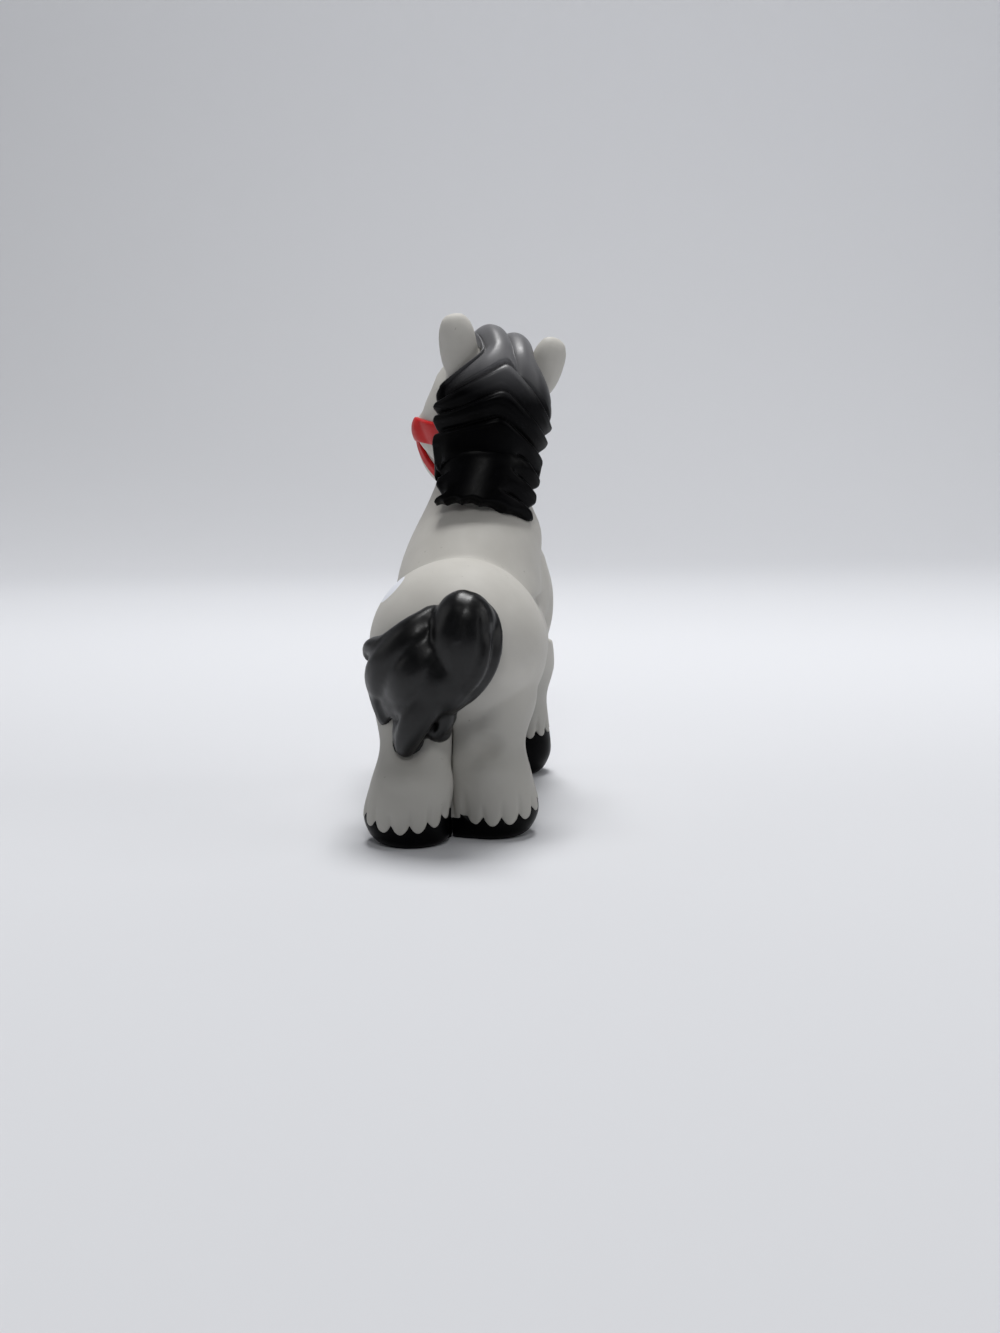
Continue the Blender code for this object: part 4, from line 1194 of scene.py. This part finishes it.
def oval_mask(nodes, axes, centre, half, soft=0.08):
    """1 inside an ellipsoid in the straight-neck frame, 0 outside. A half size of None is no limit."""
    total = None
    for axis, middle, size in zip(axes, centre, half):
        if size is None:
            continue
        share = nodes.math("DIVIDE", nodes.math("SUBTRACT", axis, middle), size)
        square = nodes.math("MULTIPLY", share, share)
        total = square if total is None else nodes.math("ADD", total, square)
    return nodes.ramp(total, 1 - soft, 1 + soft, 1.0, 0.0)


def grey_vinyl():
    nodes = Nodes("grey_vinyl_skin")
    axes = nodes.axes(nodes.rest)
    side = nodes.math("ABSOLUTE", axes[0])
    cloud = nodes.ramp(nodes.noise(140, 3), 0.3, 0.7)
    colour = nodes.blend(cloud, (0.530, 0.514, 0.476), (0.575, 0.559, 0.520))
    # Painted shade: the body's grey is darker low on the legs
    low = nodes.ramp(axes[2], SHADE_LOW, SHADE_HIGH, 1.0, 0.0)
    colour = nodes.blend(low, colour, (0.420, 0.410, 0.380))
    speck = nodes.ramp(nodes.noise(900, 2, 0.4), 0.74, 0.80)
    colour = nodes.blend(nodes.math("MULTIPLY", speck, 0.35), colour, (0.16, 0.14, 0.11))
    for centre, half in DAPPLES:
        colour = nodes.blend(oval_mask(nodes, axes, centre, half), colour, (0.80, 0.82, 0.88))
    eye_axes = (side, axes[1], axes[2])
    eye = (0.0, -EYE_FORWARD, EYE_HEIGHT)
    glint_place = (0.0, -EYE_FORWARD - 0.0005, EYE_HEIGHT + 0.0011)
    outward = nodes.ramp(side, 0.0040, 0.0045)
    masks = []
    for place, half_width, half_height, soft, paint in (
        (eye, EYE_HALF_WIDTH * 1.16, EYE_HALF_HEIGHT * 1.12, 0.05, (0.70, 0.69, 0.66)),
        (eye, EYE_HALF_WIDTH, EYE_HALF_HEIGHT, 0.06, (0.010, 0.009, 0.010)),
        (glint_place, 0.0006, 0.0007, 0.12, (0.80, 0.80, 0.80)),
    ):
        mask = oval_mask(nodes, eye_axes, place, (None, half_width, half_height), soft)
        masks.append(nodes.math("MULTIPLY", mask, outward))
        colour = nodes.blend(masks[-1], colour, paint)
    nostril_place = (NOSTRIL_SPREAD, 0.0, NOSTRIL_HEIGHT)
    nostril = oval_mask(nodes, eye_axes, nostril_place, (NOSTRIL_RADIUS, None, NOSTRIL_RADIUS), 0.3)
    front = nodes.ramp(axes[1], MUZZLE.y - 0.0010, MUZZLE.y, 1.0, 0.0)
    colour = nodes.blend(nodes.math("MULTIPLY", nostril, front), colour, (0.05, 0.045, 0.045))
    rough = nodes.ramp(nodes.noise(400, 2), 0.3, 0.7, 0.56, 0.66)
    rough = nodes.math("SUBTRACT", rough, nodes.math("MULTIPLY", masks[1], 0.40))
    nodes.set(Base_Color=colour, Roughness=rough, Specular_IOR_Level=0.35)
    nodes.relief(nodes.noise(2600, 3, 0.6), 0.10, 0.00008)
    return nodes.material


def black_vinyl(name, shine, tuft_shine, painted_sheen):
    """Black vinyl. The tuft at the top has a shine of its own, and a painted grey sheen by the given share.
    """
    nodes = Nodes(name)
    cloud = nodes.ramp(nodes.noise(220, 3), 0.35, 0.75)
    colour = nodes.blend(cloud, (0.0008, 0.0008, 0.0010), (0.0018, 0.0018, 0.0023))
    rub = nodes.ramp(nodes.noise(1500, 4, 0.7), 0.66, 0.82)
    colour = nodes.blend(nodes.math("MULTIPLY", rub, 0.12), colour, (0.018, 0.018, 0.020))
    top = nodes.ramp(nodes.axes(nodes.rest)[2], TUFT_SHEEN_HEIGHT, TUFT_SHEEN_HEIGHT + TUFT_SHEEN_FADE)
    # Painted sheen: the tuft is greyed where it would reflect the light above it
    colour = nodes.blend(nodes.math("MULTIPLY", top, painted_sheen), colour, (0.175, 0.174, 0.182))
    rough = nodes.ramp(nodes.noise(700, 3), 0.3, 0.7, 0.30, 0.38)
    rough = nodes.math("MULTIPLY_ADD", top, 0.08, rough)
    sheen = nodes.math("MULTIPLY_ADD", top, tuft_shine - shine, shine)
    nodes.set(Base_Color=colour, Roughness=rough, Specular_IOR_Level=sheen)
    nodes.relief(nodes.noise(1800, 3, 0.55), 0.10, 0.00010)
    return nodes.material


def red_vinyl():
    nodes = Nodes("red_vinyl_satin")
    cloud = nodes.ramp(nodes.noise(260, 3), 0.3, 0.7)
    colour = nodes.blend(cloud, (0.50, 0.007, 0.008), (0.58, 0.011, 0.012))
    rough = nodes.ramp(nodes.noise(700, 3), 0.3, 0.7, 0.34, 0.46)
    nodes.set(Base_Color=colour, Roughness=rough, Specular_IOR_Level=0.22)
    nodes.relief(nodes.noise(2200, 3, 0.5), 0.12, 0.00008)
    return nodes.material


# Stage

def paper():
    """Pale paper, with painted shade at the left of the wall and toward the near floor."""
    nodes = Nodes("paper")
    axes = nodes.axes(nodes.node("NewGeometry").outputs["Position"])
    grain = nodes.node("TexNoise", {"Scale": 3.0}).outputs["Fac"]
    tone = nodes.blend(grain, PAPER, tuple(part * PAPER_GRAIN for part in PAPER))
    # Painted shade on the left of the wall
    wall_shade_mask = nodes.math("MULTIPLY", nodes.ramp(axes[0], -0.35, 0.35), nodes.ramp(axes[1], -0.30, -0.55))
    tone = nodes.blend(wall_shade_mask, tone, tuple(part * WALL_PAINTED_SHADE for part in PAPER))
    # Painted shade, darker toward the near floor
    near = nodes.ramp(axes[1], -0.24, 0.0, 0.0, NEAR_FLOOR_SHADE)
    nodes.set(Base_Color=nodes.blend(near, tone, (0.0, 0.0, 0.0)), Roughness=0.9, Specular_IOR_Level=0.1)
    return nodes.material


def sweep():
    """A pale paper sweep: the floor curves up into a wall some way in front of the horse."""
    profile = [(SWEEP_NEAR_END, 0.0)]
    for step in range(17):
        turn = pi / 2 * step / 16
        profile.append((SWEEP_BEND - SWEEP_RADIUS * sin(turn), SWEEP_RADIUS * (1 - cos(turn))))
    profile.append((SWEEP_BEND - SWEEP_RADIUS, SWEEP_HEIGHT))
    skew = tan(radians(SWEEP_SKEW))
    bm = bmesh.new()
    left, right = (
        [bm.verts.new((x, y + (0 if y > 0 else x * skew), z)) for y, z in profile]
        for x in (-SWEEP_HALF_WIDTH, SWEEP_HALF_WIDTH)
    )
    for i in range(len(profile) - 1):
        bm.faces.new((left[i], left[i + 1], right[i + 1], right[i]))
    obj = object_from_bmesh("sweep", bm)
    obj.data.shade_smooth()
    obj.data.materials.append(paper())


def area_lamp(name, place, target, size, power):
    data = bpy.data.lights.new(name, "AREA")
    data.shape = "RECTANGLE"
    data.size = data.size_y = size
    data.energy = power
    lamp = object_from(name, data)
    lamp.location = place
    lamp.rotation_euler = (Vector(place) - Vector(target)).to_track_quat("Z", "Y").to_euler()


def light():
    middle = (0, 0, 0.04)
    area_lamp("top", (0.0, -0.13, 0.70), middle, 0.28, 4.1)
    area_lamp("key", (-0.06, 0.48, 0.46), middle, 0.14, 0.62)
    area_lamp("wall_light", (-0.60, -0.16, 0.45), (-0.38, -0.75, 0.24), 0.40, 0.95)
    area_lamp("left_fill", (0.75, 0.10, 0.35), middle, 0.60, 0.6)
    area_lamp("right_fill", (-0.75, 0.10, 0.35), middle, 0.60, 0.8)
    world = bpy.data.worlds.new("room")
    bpy.context.scene.world = world
    world.use_nodes = True
    background = world.node_tree.nodes["Background"]
    background.inputs["Color"].default_value = (0.80, 0.83, 0.90, 1)
    path = world.node_tree.nodes.new("ShaderNodeLightPath")
    strength = world.node_tree.nodes.new("ShaderNodeMapRange")
    strength.inputs["To Min"].default_value = ROOM_LIGHT
    strength.inputs["To Max"].default_value = ROOM_SEEN
    world.node_tree.links.new(path.outputs["Is Camera Ray"], strength.inputs["Value"])
    world.node_tree.links.new(strength.outputs["Result"], background.inputs["Strength"])


def camera(offset):
    data = bpy.data.cameras.new("camera")
    data.sensor_width = SENSOR
    data.lens = FOCAL_PIXELS * SENSOR / PHOTO_HEIGHT
    data.clip_start = 0.01
    data.clip_end = 10
    obj = object_from("camera", data)
    turn, pitch = radians(CAMERA_AZIMUTH), radians(CAMERA_PITCH)
    back = Vector((sin(turn) * cos(pitch), -cos(turn) * cos(pitch), sin(pitch)))
    obj.location = Vector(CAMERA_PLACE) + offset
    obj.rotation_euler = back.to_track_quat("Z", "Y").to_euler()
    bpy.context.scene.camera = obj


# Assembly

def tree_of(obj):
    bm = bmesh_from(obj)
    tree = BVHTree.FromBMesh(bm)
    bm.free()
    return tree


def join_shading(half, whole):
    """Gives a body half the whole body's normals at its rim, so that no seam shows between the halves."""
    normals = read_normals(whole.data)
    tree = tree_of(whole)
    made = read_normals(half.data)
    for vertex in half.data.vertices:
        if abs(vertex.co.x) < 2 * SKIN_VOXEL:
            _, _, index, _ = tree.find_nearest(vertex.co)
            blended = sum(
                normals[corner] / (1e-7 + (whole.data.vertices[corner].co - vertex.co).length)
                for corner in whole.data.polygons[index].vertices
            )
            made[vertex.index] = blended / np.linalg.norm(blended)
    half.data.normals_split_custom_set_from_vertices(made.tolist())


def main():
    offset = frame_offset()
    earless = fused("ground", body_volumes(False), SKIN_VOXEL, SKIN_PASSES)
    places = read_points(earless.data)
    cheeks(places)
    neck_root_shift(places)
    write_points(earless.data, places)
    ground = tree_of(earless)
    halves, whole = body_halves()
    grey = grey_vinyl()
    # The mane's last number is the share of painted sheen on its tuft
    hair = black_vinyl("black_vinyl_mane", 0.06, 0.50, 0.75)
    black = black_vinyl("black_vinyl_tail", 0.40, 0.40, 0.0)
    dull = black_vinyl("black_vinyl_hooves", 0.05, 0.05, 0.0)
    pieces = [
        (halves[0], "body_left_shell", "grey_vinyl", grey),
        (halves[1], "body_right_shell", "grey_vinyl", grey),
        (mane(ground), "mane", "black_vinyl", hair),
        (tail(ground), "tail", "black_vinyl", black),
        (halter(ground), "halter", "red_vinyl", red_vinyl()),
    ]
    for foot in FEET:
        pieces.append((hoof(foot), "hoof_" + foot.name, "black_vinyl", dull))
    for piece, node, slot, material in pieces:
        pose(piece, offset)
        piece.data.materials.append(material)
        piece.data.shade_smooth()
        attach(piece, "root")
        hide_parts(node)
    pose(whole, offset)
    for half in halves:
        join_shading(half, whole)
    discard(earless, whole)
    sweep()
    light()
    camera(offset)
    bpy.context.scene.view_settings.view_transform = "Standard"


main()
